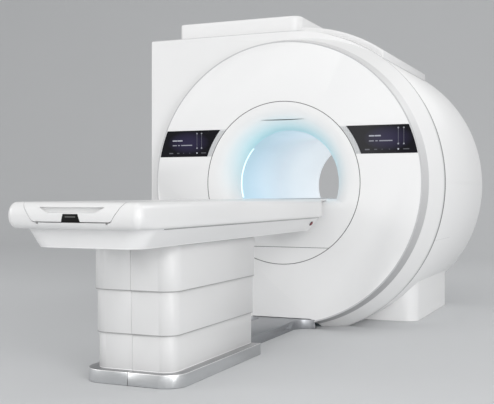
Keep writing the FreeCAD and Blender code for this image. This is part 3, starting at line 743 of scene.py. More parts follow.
def front_painted_shade(x, y, z):
    """Painted shade on the first slope round the face, darker low down, and thin painted shadow
    lines at the lip and the top.
    """
    reach = from_axis(x, z)
    shade = ((shade_top - z) / shade_height).bounded() * more_shade + least_shade
    slope = (reach < slope_outer) * (reach > slope_inner) * shade
    # painted shadow lines: in the gap at the lip, and under the turret along the top
    lip = (reach > lip_inner) * (x > lip_left) * line_strength
    top = (z > top_line) * (y > top_front) * line_strength
    return (slope + lip + top).bounded()


front_paint = lacquer("front cover lacquer", grey(0.81), 0.42, 0.08,
                      (front_painted_shade, (0.34, 0.34, 0.35)))
print("the dark slope is", round(1000 * (slope_outer - slope_inner), 1), "mm wide")

# %% [markdown]
# ## Ring of the front cover
#
# The raised ring round the face leans back in two slopes to a narrow lip. It is turned from
# its section, and the meetings of the slopes are rounded afterwards. They meet at small angles,
# so the bevel has to be told to take them too.

# %% Ring
cover_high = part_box("front_cover")[1]
ring_edges = [(0.985, 0.0), (1.010, 0.100), (1.078, 0.215), (1.089, cover_high.y)]
ring_inside = [(1.081, cover_high.y), (1.002, 0.104), (0.975, 0.016), (0.975, 0.0083),
               (0.985, 0.0083)]
ring = turned("front_ring", ring_edges + ring_inside, steps=192)
soften(ring, 0.005, segments=3, angle=8)
print("points of the ring's section:", len(ring_edges + ring_inside))

# %% [markdown]
# ## Shoulder of the front cover
#
# On the left the ring grows into a square shoulder that runs from the floor to the top and
# fades into the ring just right of the middle. It could be drawn out of the ring's own faces,
# but its edges are straight, so it is a block. Its front is sliced so that it falls back on the
# right. Then three tools cut away what would stick out beyond the ring, first round it on the
# right and then below the axis, and what lies inside it.

# %% Shoulder
shoulder_left, shoulder_top, shoulder_front = -1.0885, 2.078, 0.100
shoulder_reach, shoulder_inner, front_normal = 1.078, 1.008, (0.2, -1, 0)
shoulder = block("front_shoulder", (shoulder_left, shoulder_front, -0.1),
                 (shoulder_reach, cover_high.y, shoulder_top))
round_edges(shoulder, lambda e: along(e, 1) and middle(e).x < -1 and middle(e).z > 1, 0.012, 5)
round_edges(shoulder, lambda e: middle(e).y < shoulder_front + 0.001
            and (middle(e).x < -1.04 or middle(e).z > 2.04), 0.005, 3)
slice_off(shoulder, (0, shoulder_front, 0), front_normal)

outside_tool = hoop("outside_tool", shoulder_reach, far, -0.5, 0.5, steps=192)
slice_off(outside_tool, (0, 0, 0), (-1, 0, 0))
combine(shoulder, outside_tool)
combine(shoulder, block("corner_tool", (0, -0.5, -0.5), (far, 0.5, axis_height)))
combine(shoulder, rod("round_tool", shoulder_inner, 1, (0, 0, axis_height)))
print("shoulder:", len(shoulder.data.polygons), "faces")

# %% [markdown]
# ## Opening for the floor duct
#
# Cables run from the table to the gantry in a flat duct on the floor, and the front cover
# leaves an opening for it with the duct's own leaning sides. Ring and shoulder get the same
# cut and then become one piece by a plain join. A boolean union would weld them, but where two
# walls lie this close booleans fail most often, and nobody sees the difference.

# %% Front cover as one piece
duct_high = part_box("dock_plate")[1]
duct_gap, duct_lean = 0.004, 0.032
duct_half = duct_high.x + duct_gap / 2

for form in (ring, shoulder):
    cut_below(form, 0)
    combine(form, leaning_block("duct_tool", (-0.1, 0), (0.6, duct_high.z + duct_gap),
                                duct_half, duct_half - duct_lean))
join(ring, shoulder)
ring.name = "front_cover_shell"
dress(ring, gantry, front_paint, "cover_white", "front_cover", smooth=25)

# %% [markdown]
# ## Screens
#
# Both screens show the same page: a title, a line under it, a drawing of two rails with a dot
# at each end, and a row of small marks, on black with a dim violet glow. A picture file could
# hold such a page, but it would need a map onto the glass and has one fixed sharpness. Here it
# is drawn in the shader: a bar is the product of two tests, one on each coordinate, and a dot
# is one test on the distance.

# %% The page: middle x, middle z, half width, half height and strength of each bar
page_base, dot_radius = 1.222, 0.0055
glow_x, glow_z, glow_width, glow_height = 0.13, 0.075, 0.17, 0.085
veil_width = 0.24
page_bars = [
    (0.018, 0.091, 0.018, 0.0045, 0.75), (0.060, 0.091, 0.021, 0.0045, 0.75),
    (0.017, 0.057, 0.017, 0.0035, 0.50), (0.052, 0.057, 0.008, 0.0035, 0.50),
    (0.115, 0.057, 0.045, 0.0035, 0.55), (0.199, 0.088, 0.0016, 0.050, 0.22),
    (0.236, 0.088, 0.0016, 0.050, 0.22), (-0.012, 0.000, 0.016, 0.0040, 0.22),
    (0.046, 0.000, 0.010, 0.0035, 0.16), (0.090, 0.000, 0.004, 0.0030, 0.12),
    (0.140, 0.000, 0.004, 0.0030, 0.12), (0.252, 0.000, 0.020, 0.0030, 0.20)]
page_dots = [(0.199, 0.141, 0.5), (0.236, 0.141, 0.5), (0.199, 0.035, 0.6),
             (0.236, 0.035, 0.6), (0.199, 0.000, 0.9)]
print("marks on a page:", len(page_bars) + len(page_dots))


# %% Glass with the page behind it
def squared(across, up):
    """Square of the distance that two steps make together."""
    return across * across + up * up


def screen_glass(name, page_left, painted_reflection):
    finish = Finish(name, Base_Color=(0.006, 0.006, 0.008), Roughness=0.12,
                    Specular_IOR_Level=0.12, Coat_Weight=0.03, Coat_Roughness=0.03,
                    Emission_Strength=1.0)
    here, (x, y, z) = finish.place()
    across, up = x - page_left, z - page_base
    marks = 0.0
    for bar_x, bar_z, half_width, half_height, strength in page_bars:
        inside = (abs(across - bar_x) < half_width) * (abs(up - bar_z) < half_height)
        marks = marks + inside * strength
    for dot_x, dot_z, strength in page_dots:
        marks = marks + (squared(across - dot_x, up - dot_z) < dot_radius ** 2) * strength
    violet = (1 - squared((across - glow_x) / glow_width, (up - glow_z) / glow_height)).bounded()
    ground = finish.between(violet, (0.001, 0.001, 0.002), (0.022, 0.018, 0.050))
    # painted reflection of the light, a white veil fading across the glass from its left edge
    veil = (1 - across / veil_width).bounded() * painted_reflection
    ground = finish.between(veil, ground, grey(1.0))
    finish.set("Emission Color", finish.between(marks, ground, (0.54, 0.56, 0.63)))
    return finish.material


# %% [markdown]
# ## Face and screens in place
# The face is a flat ring with two windows, and the screens fill the windows. Their shapes are
# already right in the frame, so all three are copies with eased edges. The glass of the right
# screen faces the light, so a faint painted reflection lies as a veil over its left part.

# %% Face and screens
dress_copy("face_panel", "face_ring", 0.0012, gantry, gantry_paint, "cover_white", smooth=25)
for side, page_left, painted_reflection in (("left", -0.854, 0.0), ("right", 0.628, 0.03)):
    dress_copy("display_" + side, "screen_" + side, 0.0012, gantry,
               screen_glass("screen " + side, page_left, painted_reflection), "display_glass", smooth=25)

# %% [markdown]
# ## Grilles
#
# Beside each screen, where the loudspeakers are, sits a narrow grille with rows of small holes.
# Holes could be painted on, but from the side a real hole shows its wall. One hexagonal pin is
# modelled, copied from place to place over the plate, and all the pins cut it in one go. Six
# sides are enough for a hole of 6 mm.

# %% Grilles
grille_plastic = moulded("grille plastic", (0.70, 0.71, 0.72), 0.5)
grille_inner, grille_outer, grille_depth = trumpet_radius + 0.002, 0.603, 0.004
hole_pitch, hole_radius, hole_columns = 0.0095, 0.0030, 3
first_row, first_column, stagger = 0.7 * hole_pitch, 0.0075, 0.3 * hole_pitch


def grille_pins(sign, low, high):
    """One pin, copied in staggered rows that follow the curve of the strip."""
    places = []
    for row in range(int((high.z - low.z) / hole_pitch)):
        z = low.z + first_row + hole_pitch * row
        for column in range(hole_columns):
            radius = grille_inner + first_column + hole_pitch * column + stagger * (row % 2)
            across = math.sqrt(radius ** 2 - (z - axis_height) ** 2)
            places.append(Vector((sign * across, 0, z)))
    pins = rod("pins", hole_radius, 0.02, places[0], sides=6)
    with editing(pins):
        bpy.ops.mesh.select_all(action="SELECT")
        for before, after in zip(places, places[1:]):
            bpy.ops.mesh.duplicate_move(TRANSFORM_OT_translate={"value": after - before})
    print("holes:", len(places))
    return pins


for side, sign in (("left", -1), ("right", 1)):
    low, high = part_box("grille_" + side)
    strip = hoop("grille_" + side + "_perforated", grille_inner, grille_outer, 0, grille_depth)
    cut_above(strip, high.z)
    cut_below(strip, low.z)
    slice_off(strip, (0, 0, 0), (-sign, 0, 0))
    combine(strip, grille_pins(sign, low, high))
    dress(strip, gantry, grille_plastic, "grille_grey", "grille_" + side, smooth=25)

# %% [markdown]
# ## Barrel
#
# Behind the front the machine is a barrel of two half shells that meet at the top. Each half is
# a hoop that is cut off at the middle and at the floor. The cooling head comes up through the
# top and the magnet's feet stand in its lower part, so their ways are cut out too. The finish
# has painted shadow, a dark band close behind the front cover, and a fine seam low on each side.

# %% Barrel paint, and the ways through the barrel
barrel_inner, barrel_radius = 1.079, 1.085
head_way_radius, half_gap = 0.115, 0.001
foot_way_near, foot_way_far, foot_way_length, foot_way_top = 0.428, 0.642, 0.274, 0.287
foot_way_fronts = 0.617, 1.428
shadow_end, seam_height, seam_middle = 0.280, 0.606, 0.55
seam_half_height, seam_half_length, seam_strength = 0.0014, 0.29, 0.22


# painted shadow in a band close behind the front cover, and a fine real seam low on the side
def barrel_shadow_and_seam(x, y, z):
    seam = ((abs(z - seam_height) < seam_half_height)
            * (abs(y - seam_middle) < seam_half_length))
    return ((y < shadow_end) + seam * seam_strength).bounded()


def cut_ways(piece):
    """Cuts the ways for the cooling head and for the feet of the magnet."""
    head_low, head_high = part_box("cold_head")
    centre = (head_low + head_high) / 2
    deselect()
    bpy.ops.mesh.primitive_cylinder_add(vertices=48, radius=head_way_radius, depth=2,
                                        location=(centre.x, centre.y, axis_height + 1))
    combine(piece, new_piece("head_way"))
    for sign in (-1, 1):
        left, right = sorted((sign * foot_way_near, sign * foot_way_far))
        for front in foot_way_fronts:
            combine(piece, block("foot_way", (left, front, -0.1),
                                 (right, front + foot_way_length, foot_way_top)))


# %% Barrel halves, and the wall of the square side
barrel_paint = lacquer("barrel lacquer", grey(0.85), 0.45, 0.05, (barrel_shadow_and_seam, grey(0.16)))
low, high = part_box("barrel_cover_right")
for side, sign in (("left", -1), ("right", 1)):
    half = hoop("barrel_shell_" + side, barrel_inner, barrel_radius, low.y, high.y)
    slice_off(half, (sign * half_gap, 0, 0), (-sign, 0, 0))
    cut_below(half, 0)
    cut_ways(half)
    soften(half, 0.002)
    dress(half, gantry, barrel_paint, "cover_white", "barrel_cover_" + side)
dress_copy("cover_back", "shoulder_back", 0.001, gantry, gantry_paint, "cover_white")

# %% [markdown]
# ## Saddle and turret
#
# A raised saddle lies over the top of the barrel, and left of its middle a rounded turret hides
# the cooling head. The saddle is round about the same axis, so it is a wider hoop with its ends
# sliced off. The turret is a block with large upright rounds. It is made a little too deep, and
# the barrel's round is cut out of it, so that it sits on the barrel with no gap to fit by eye.

# %% Saddle and turret
seat_radius, saddle_radius = barrel_radius + 0.0003, 1.131
turret_corner, turret_front_corner, turret_edge = 0.075, 0.030, 0.016
turret_shift_left, turret_shift_right = 0.020, 0.034


def barrel_tool():
    return rod("barrel_tool", seat_radius, 6, (0, 0, axis_height))


low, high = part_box("saddle_cover")
saddle = hoop("saddle_shell", seat_radius, saddle_radius, low.y, high.y)
for point, normal in (((high.x, 0, 0), (1, 0, 0)), ((low.x, 0, 0), (-1, 0, 0)),
                      ((0, 0, axis_height), (0, 0, -1))):
    slice_off(saddle, point, normal)
soften(saddle, 0.010, segments=4, angle=40)
dress(saddle, gantry, gantry_paint, "cover_white", "saddle_cover")

low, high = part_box("turret_cover")
turret = block("turret_shell", (low.x - turret_shift_left, low.y, low.z - 0.01),
               (high.x - turret_shift_right, high.y, high.z))
round_edges(turret, lambda e: along(e, 2) and middle(e).x < -0.5 and middle(e).y < 0.5,
            turret_front_corner, 8)
round_edges(turret, lambda e: along(e, 2) and rise_of(e) > 0.1
            and (middle(e).x > -0.5 or middle(e).y > 0.8), turret_corner, 12)
round_edges(turret, lambda e: middle(e).z > high.z - 0.001, turret_edge, 5)
combine(turret, barrel_tool())
dress(turret, gantry, gantry_paint, "cover_white", "turret_cover")

# %% [markdown]
# ## Rear of the gantry
#
# The rear cover closes the barrel with a shallow dish, and a small flare leads out of the bore.
# Both are turned, with a quarter ellipse like the trumpet's. Below the runway a flat plate
# closes the flare. It is a disc that is cut off at the runway's height, where the same tools as
# at the front let the runway through.

# %% Rear cover
low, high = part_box("rear_cover")
rear_wall, rear_rim, rear_opening = 0.008, 1.0093, 0.4323
dish = quarter(rear_rim, high.y, barrel_radius, low.y, 12)
rear = turned("rear_shell", [(rear_opening, high.y)] + dish + [
    (barrel_radius - rear_wall, low.y), (rear_rim + rear_wall, high.y - rear_wall),
    (rear_opening, high.y - rear_wall)], steps=192)
cut_below(rear, 0)
dress(rear, gantry, gantry_paint, "cover_white", "rear_cover")

# %% Rear flare and its closing plate
low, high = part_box("rear_flare")
rear_flare_radius, rear_flare_foot = 0.432, 0.387
rear_flare = turned(
    "rear_flare_shell", quarter(rear_flare_radius, high.y, bore_radius, low.y, 12)
    + [(rear_flare_foot, low.y), (rear_flare_radius, high.y - rear_wall)], steps=144)
plate = rod("rear_plate", rear_flare_radius - 0.001, rear_wall,
            (0, high.y - rear_wall / 2, axis_height), sides=144)
cut_above(plate, runway_high.z)
cut_runway_way(plate, bore_radius)
join(rear_flare, plate)
dress(rear_flare, gantry, gantry_paint, "cover_white", "rear_flare")

# %% [markdown]
# ## Foot covers
#
# Low at each side a block hides the feet of the magnet. Its outer upright edges have a wide
# round, its top edges a narrow one, and its inner side follows the barrel, by the same cut as
# under the turret.

# %% Foot covers
foot_corner, foot_edge = 0.100, 0.005
for side, sign in (("left", -1), ("right", 1)):
    low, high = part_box("foot_cover_" + side)
    foot = block("foot_shell_" + side, low, high)
    round_edges(foot, lambda e: along(e, 2) and middle(e).x * sign > 0.7, foot_corner, 12)
    round_edges(foot, lambda e: middle(e).z > high.z - 0.001, foot_edge, 3)
    combine(foot, barrel_tool())
    dress(foot, gantry, gantry_paint, "cover_white", "foot_cover_" + side)

# %% [markdown]
# ## Section of the table top
#
# The slab's nose is a deep round that runs on round its corners, while its sides have a soft
# upper edge and a nearly sharp lower one. The surface has to fade from one section into the
# other. For that both sections need the same number of points, so a point of the nose's round
# is placed on the sides' section at the same share of the way from the middle height to the
# flat top or bottom.

# %% Places on the sides' section
table_low, table_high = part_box("table_body")
table_middle = (table_low.z + table_high.z) / 2
table_half_height = (table_high.z - table_low.z) / 2
nose_round, nose_half_height = 0.040, 0.059
upper_round, lower_round = 0.030, 0.012


def side_section(turn, low_half):
    """How far in from the side, and from the middle height, the side's section runs."""
    radius = lower_round if low_half else upper_round
    straight, arc = table_half_height - radius, radius * math.pi / 2
    run = turn / (math.pi / 2) * (straight + arc + nose_round - radius)
    if run < straight:
        return 0, run
    if run < straight + arc:
        bend = (run - straight) / radius
        return radius * (1 - math.cos(bend)), straight + radius * math.sin(bend)
    return radius + run - straight - arc, table_half_height


print("table top is", round(table_high.z - table_low.z, 4), "m thick")

# %% [markdown]
# ## Slab of the table top
#
# It starts as a thin block that is rounded all over and then stretched to its real height,
# which turns the rounds into half ellipses. Behind the nose it is cut off, the corners of the
# cut are moved onto the section of the sides, and the face between them is extruded to the far
# end. The nose's corners in plan come last, as a cut with an upright rounded block.

# %% Slab
fade_end = table_low.y + 0.14
corner_round, plan_gap = 0.054, 0.00002


def on_the_cut(place):
    return abs(place.y - fade_end) < 1e-5


def slab(name):
    """Pillow whose round section changes behind the nose into the section of the sides."""
    thin = table_half_height * nose_round / nose_half_height
    piece = block(name, (table_low.x, table_low.y, table_middle - thin),
                  (table_high.x, table_high.y, table_middle + thin))
    round_edges(piece, lambda e: True, nose_round, 12)
    with editing(piece):
        bpy.ops.mesh.select_all(action="SELECT")
        bpy.ops.transform.resize(value=(1, 1, table_half_height / thin),
                                 center_override=(0, 0, table_middle))
    slice_off(piece, (0, fade_end, 0), (0, 1, 0))
    corners = [v.co.copy() for v in piece.data.vertices if on_the_cut(v.co)]
    with editing(piece):
        for corner in corners:
            up = (corner.z - table_middle) / table_half_height
            out = (abs(corner.x) - table_high.x + nose_round) / nose_round
            inward, rise = side_section(math.atan2(abs(up), max(out, 0)), up < 0)
            pick(piece, "VERT", lambda v: (v.co - corner).length < 1e-5)
            bpy.ops.transform.translate(value=(
                math.copysign(table_high.x - inward, corner.x) - corner.x, 0,
                math.copysign(rise, up) + table_middle - corner.z))
        pick(piece, "FACE", lambda f: f.normal.y > 0.99 and on_the_cut(f.verts[0].co))
        bpy.ops.mesh.extrude_region_move(
            TRANSFORM_OT_translate={"value": (0, table_high.y - fade_end, 0)})
    plan = block("plan_tool", (table_low.x - plan_gap, -far, 0),
                 (table_high.x + plan_gap, table_high.y, 2))
    round_edges(plan, lambda e: along(e, 2) and middle(e).y > -1, corner_round, 12)
    combine(piece, plan, "INTERSECT")
    return piece


# %% [markdown]
# ## Channel for the cradle
#
# The cradle, the board that carries the patient, lies in a channel with leaning sides, flush
# with the top. At the near end the channel is closed by the cradle's own end cap, which carries
# on the slab's round nose. So slab, cap and cradle all come from one leaning tool with a
# different gap each: what it takes away from one is what is left of the other.

# %% Table top
cap_low, cap_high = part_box("cradle_end_cap")
channel_floor, channel_round = cap_low.z, 0.010
half_top, half_bottom = cap_high.x, 0.200
tool_rise = 0.05
channel_gap, channel_drop = 0.0015, 0.0003
notch_middle, notch_half, notch_low, notch_high, notch_depth = 0.180, 0.006, 0.007, 0.010, 0.03


def leaning_tool(gap, drop, front, rear):
    """Block whose sides lean outwards like the cradle's, with eased lower edges."""
    lean = (half_top - half_bottom) / (table_high.z - channel_floor)
    tool = leaning_block("leaning_tool", (front, channel_floor - drop),
                         (rear, table_high.z + tool_rise), half_bottom + gap - lean * drop,
                         half_top + gap + lean * tool_rise)
    round_edges(tool, lambda e: along(e, 1) and middle(e).z < channel_floor + 0.005,
                channel_round, 5)
    return tool


table_top = slab("table_top_shell")
combine(table_top, leaning_tool(channel_gap, channel_drop, -far, far))
for side in (-1, 1):
    combine(table_top, block(
        "notch_tool", (side * notch_middle - notch_half, -far, channel_floor - notch_low),
        (side * notch_middle + notch_half, table_low.y + notch_depth,
         channel_floor + notch_high)))
dress(table_top, "table", table_paint, "table_white", "table_body")

# %% [markdown]
# ## End cap with its grip
#
# The cap is the same slab, cut to what the leaning tool holds, a hair smaller all round so that
# the seam shows. A recess for the fingers runs across its front, wide at the top and narrower
# below, and under it sits a pocket for the latch. Both are cut with rounded tools, because a
# round on the tool leaves a round in the recess.

# %% Cap
cap_gap, cap_drop = -0.0017, -0.0036
grip_low, grip_high, grip_depth = 0.842, 0.868, 0.030
grip_high_half, grip_low_half, grip_side_round, grip_rear_round = 0.172, 0.125, 0.009, 0.008
latch_low, latch_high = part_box("cradle_latch")
pocket_play, pocket_gap, pocket_low_half, pocket_high_half = 0.007, 0.0003, 0.0503, 0.0383

cap = slab("cradle_cap")
combine(cap, leaning_tool(cap_gap, cap_drop, -far, cap_high.y), "INTERSECT")
grip = block("grip_tool", (-grip_high_half, table_low.y - 0.02, grip_low),
             (grip_high_half, table_low.y + grip_depth, grip_high))
with editing(grip):
    pick(grip, "EDGE", lambda e: along(e, 1) and middle(e).z < grip_low + 0.001)
    bpy.ops.transform.resize(value=(grip_low_half / grip_high_half, 1, 1))
round_edges(grip, lambda e: along(e, 1), grip_side_round, 5)
round_edges(grip, lambda e: middle(e).y > table_low.y + grip_depth - 0.001, grip_rear_round, 4)
combine(cap, grip)
combine(cap, leaning_block(
    "pocket_tool", (latch_low.y - 0.02, latch_low.z - 0.001),
    (latch_high.y + pocket_play, latch_high.z + pocket_gap), pocket_low_half,
    pocket_high_half))
dress(cap, "cradle", table_paint, "table_white", "cradle_end_cap")

# %% [markdown]
# ## Cradle
#
# The board is as long as the table and has a shallow dish along its top, in which the mattress
# lies. The dish is a piece of a very large cylinder: its radius follows from how wide and how
# deep the dish is, and one cut makes it true over the whole length. The cylinder needs many
# sides, because the dish takes only a small share of them.

# %% Cradle with its dish
cradle_low, cradle_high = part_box("cradle")
dish_half, dish_depth = 0.235, 0.010
dish_radius = (dish_half ** 2 + dish_depth ** 2) / (2 * dish_depth)

board = leaning_tool(0, 0, cradle_low.y, cradle_high.y)
board.name = "cradle_board"
cut_above(board, table_high.z)
combine(board, rod("dish_tool", dish_radius, 6,
                   (0, 0, table_high.z - dish_depth + dish_radius), sides=720))
soften(board, 0.0012)
print("radius of the dish:", round(dish_radius, 3))
dress(board, "cradle", table_paint, "table_white", "cradle")

# %% [markdown]
# ## Latch
#
# The black button that frees the cradle from its drive has a lighter bar across it. The bar is
# flush, so it is a mark in the plastic and not a piece.

# %% Latch
bar_half, bar_half_height = 0.027, 0.0032
bar_height = 0.32 * latch_low.z + 0.68 * latch_high.z


def latch_bar(x, y, z):
    return (abs(x) < bar_half) * (abs(z - bar_height) < bar_half_height)


latch_plastic = moulded("black latch plastic", grey(0.008), 0.5, (latch_bar, grey(0.10)),
                        Specular_IOR_Level=0.12)
dress_copy("cradle_latch", "latch_button", 0.0015, "cradle_latch", latch_plastic, "latch_black")

# %% [markdown]
# ## Places of the stop buttons
#
# A red button on each side of the tray stops the table. It stands square to the tray's leaning
# side, and so does the hole for it, so one helper makes every disc there, on either side:
# holes, buttons and collars. A cylinder points up when it is added, and the rotation that turns
# up into outwards is worked out from the direction itself.

# %% Discs square to the tray's side
stop_lean = Vector((0.088, 0, -0.060)).normalized()
stop_centre = Vector((0.3091, -0.262, 0.732))


def stop_disc(name, sign, radius, depth, offset):
    """Disc square to the tray's side, moved outwards by the offset."""
    outward = Vector((sign * stop_lean.x, 0, stop_lean.z))
    centre = Vector((sign * stop_centre.x, stop_centre.y, stop_centre.z))
    deselect()
    bpy.ops.mesh.primitive_cylinder_add(
        vertices=48, radius=radius, depth=depth, location=centre + outward * offset,
        rotation=outward.to_track_quat("Z", "Y").to_euler())
    return new_piece(name), outward


print("the buttons look down by", round(math.degrees(math.asin(-stop_lean.z)), 1), "degrees")

# %% [markdown]
# ## Tray
#
# The tray under the table top narrows downwards, so a block is made at its upper size and its
# floor is drawn in, more at the gantry's end. After the corners are round, the top face is
# deleted and Solidify turns the skin into a wall: shelling it last keeps the wall even, round
# the corners too. A light line along the floor edge is a painted highlight, and a dark line
# along the top, under the slab, is painted shadow.

# %% Tray
under_low, under_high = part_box("table_underbody")
tray_round, tray_rear_round, tray_edge, tray_wall = 0.083, 0.041, 0.006, 0.006
stop_hole_radius = 0.0131
floor_share, floor_draw_near, floor_draw_far = 0.275 / 0.335, 0.010, -0.065
highlight_edge, shadow_edge, shadow_front = 0.0065, 0.005, -2.30
# painted highlight along the floor edge, and painted shadow along the top under the slab
tray_paint = lacquer(
    "tray lacquer", grey(0.82), 0.36, 0.2,
    (lambda x, y, z: z < under_low.z + highlight_edge, grey(0.92)),
    (lambda x, y, z: (z > under_high.z - shadow_edge) * (y > shadow_front), grey(0.30)))


def at_tray_floor(edge):
    return middle(edge).z < under_low.z + 0.001


tray = block("tray_shell", under_low, under_high)
with editing(tray):
    pick(tray, "FACE", lambda f: f.normal.z < -0.9)
    bpy.ops.transform.resize(value=(floor_share, 1, 1), center_override=(0, 0, 0))
    for near, draw in ((True, floor_draw_near), (False, floor_draw_far)):
        pick(tray, "EDGE", lambda e: along(e, 0) and at_tray_floor(e)
             and (middle(e).y < -1) == near)
        bpy.ops.transform.translate(value=(0, draw, 0))
round_edges(tray, lambda e: rise_of(e) > 0.05 and middle(e).y < -1, tray_round, 14)
round_edges(tray, lambda e: rise_of(e) > 0.05 and middle(e).y > -1, tray_rear_round, 10)
round_edges(tray, at_tray_floor, tray_edge, 3)
with editing(tray):
    pick(tray, "FACE", lambda f: f.normal.z > 0.9)
    bpy.ops.mesh.delete(type="FACE")
apply_modifier(tray, "SOLIDIFY", thickness=tray_wall, offset=-1, use_even_offset=True)
for sign in (-1, 1):
    combine(tray, stop_disc("stop_hole", sign, stop_hole_radius, 0.04, 0)[0])
dress(tray, "table", tray_paint, "table_white", "table_underbody")

# %% [markdown]
# ## Pedestal
#
# Three rings slide into each other as the table sinks. Each is an upright block with an inner
# block cut out of it, in two halves with a fine seam down the middle. The two upper ones have a
# lip at their foot that closes the gap to the ring below. Apart from that the three differ only
# in their size, so one loop makes them. Painted shadow lies as dark lines under the steps at the
# rings' lower edges and under the tray, and a painted highlight runs along the foot of the lowest
# ring. The lines ride with their rings.

# %% Pedestal paint
upper_seam, lower_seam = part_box("upper_skirt_left")[0].z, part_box("middle_skirt_left")[0].z
trim_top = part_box("base_trim_left")[1].z
step_shadow_middle, step_shadow_half = 0.0018, 0.0019


def skirt_painted_shadows(x, y, z):
    """Painted shadow: dark lines under the steps at the lower edges of the two upper rings, and
    under the tray.
    """
    step_shadows = ((abs(z - upper_seam - step_shadow_middle) < step_shadow_half)
              + (abs(z - lower_seam - step_shadow_middle) < step_shadow_half))
    return (step_shadows + (z > under_low.z - 0.005)).bounded()


# painted shadow lines, and a painted highlight along the foot of the lowest ring just above the
# rail
skirt_paint = lacquer("pedestal lacquer", grey(0.69), 0.42, 0.15, (skirt_painted_shadows, grey(0.34)),
                      (lambda x, y, z: z < trim_top + 0.005, grey(0.95)))
print("wipers at", round(lower_seam, 3), "and", round(upper_seam, 3), "m")

# %% Pedestal rings
ring_wall, ring_step, ring_gap, least_round = 0.004, 0.009, 0.0006, 0.003
front_corner, rear_corner, overshoot = 0.090, 0.030, 0.1


def ring_block(name, low, high, inset, front_radius, rear_radius):
    """Upright block with round corners, drawn in by the inset."""
    piece = block(name, (low.x + inset, low.y + inset, low.z),
                  (high.x - inset, high.y - inset, high.z))
    centre = (low.y + high.y) / 2
    round_edges(piece, lambda e: along(e, 2) and middle(e).y < centre, front_radius - inset, 16)
    round_edges(piece, lambda e: along(e, 2) and middle(e).y > centre,
                max(rear_radius - inset, least_round), 6)
    return piece


for step, (body, ring_name) in enumerate((
        ("table", "upper_skirt"), ("middle_stage", "middle_skirt"), (gantry, "lower_skirt"))):
    low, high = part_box(ring_name + "_left")[0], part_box(ring_name + "_right")[1]
    radii = front_corner - step * ring_step, max(rear_corner - step * ring_step, least_round)
    has_lip = step < 2
    raised = low + Vector((0, 0, ring_wall if has_lip else -overshoot))
    tall = high + Vector((0, 0, overshoot))
    for side, sign in (("left", -1), ("right", 1)):
        half = ring_block(f"{ring_name}_shell_{side}", low, high, 0, *radii)
        combine(half, ring_block("inner_tool", raised, tall, ring_wall, *radii))
        if has_lip:
            combine(half, ring_block("lip_tool", low - Vector((0, 0, overshoot)), tall,
                                     ring_step - ring_gap, *radii))
        slice_off(half, (sign * ring_gap, 0, 0), (-sign, 0, 0))
        soften(half, 0.0006)
        dress(half, body, skirt_paint, "skirt_white", f"{ring_name}_{side}")

# %% [markdown]
# ## Base trim, floor duct and runway
#
# The pedestal stands in a rail of brushed aluminium, the duct to the gantry is of the same
# metal with a duller grain, and the runway carries the cradle through the bore. Their shapes
# come from the frame. What makes the rail look like metal is its edge: a painted highlight, a
# white line along the top, and painted shade on the ledge above it, where the ring shades it.

# %% Base trim, floor duct and runway
highlight_height, shaded_ledge_height = 0.0042, 0.0004
# painted highlight along the rail's top, and painted shade on the thin ledge above it
base_metal = brushed("brushed aluminium", (0.74, 0.75, 0.76), (1, 1, 24), 0.36,
                     (lambda x, y, z: z > trim_top - highlight_height, grey(0.97)),
                     (lambda x, y, z: z > trim_top - shaded_ledge_height, (0.42, 0.42, 0.43)))
duct_metal = brushed("floor duct aluminium", (0.44, 0.45, 0.47), (24, 1, 24), 0.40)

for side in ("left", "right"):
    dress_copy("base_trim_" + side, "base_rail_" + side, 0.002, gantry, base_metal,
               "trim_aluminium", segments=3)
dress_copy("dock_plate", "floor_duct", 0.002, gantry, duct_metal, "trim_aluminium", segments=3)
dress_copy("bridge", "bore_runway", 0.002, gantry, table_paint, "table_white")

# %% [markdown]
# ## Stop buttons
#
# Each button is a short disc with a rounded edge and a front that is slightly hollow, so that a
# finger finds it, in a dark collar that stays with the tray while the button moves. It needs no
# sculpting: the front is inset once and pushed back a little, and the bevel rounds the edge.

# %% Buttons and collars
stop_plastic = moulded("red button plastic", (0.20, 0.006, 0.016), 0.4)
collar_plastic = moulded("dark collar plastic", (0.05, 0.05, 0.055), 0.4)
cap_radius, hole_in_collar, collar_radius = 0.0128, 0.0133, 0.0165

for side, sign in (("right", 1), ("left", -1)):
    button, outward = stop_disc("stop_cap_" + side, sign, cap_radius, 0.014, 0.001)
    with editing(button):
        pick(button, "FACE", lambda f: f.normal.dot(outward) > 0.99)
        bpy.ops.mesh.inset(thickness=0.003)
        bpy.ops.transform.translate(value=outward * -0.0004)
    soften(button, 0.0025, segments=4)
    dress(button, "stop_button_" + side, stop_plastic, "stop_red", "stop_button_" + side)

    collar = stop_disc("stop_collar_" + side, sign, collar_radius, 0.003, 0.0008)[0]
    combine(collar, stop_disc("collar_tool", sign, hole_in_collar, 0.02, 0)[0])
    soften(collar, 0.0006)
    dress(collar, "table", collar_plastic, "latch_black")

# %% [markdown]
# ## What stays as it is
#
# The pieces inside the covers have their final shape in the frame, so they only get a finish:
# welded aluminium for the magnet's vessel, cast resin for the coil, enamel for frames and
# brackets, bare metal for what slides or turns. They show only through gaps, or when a cover
# is hidden.

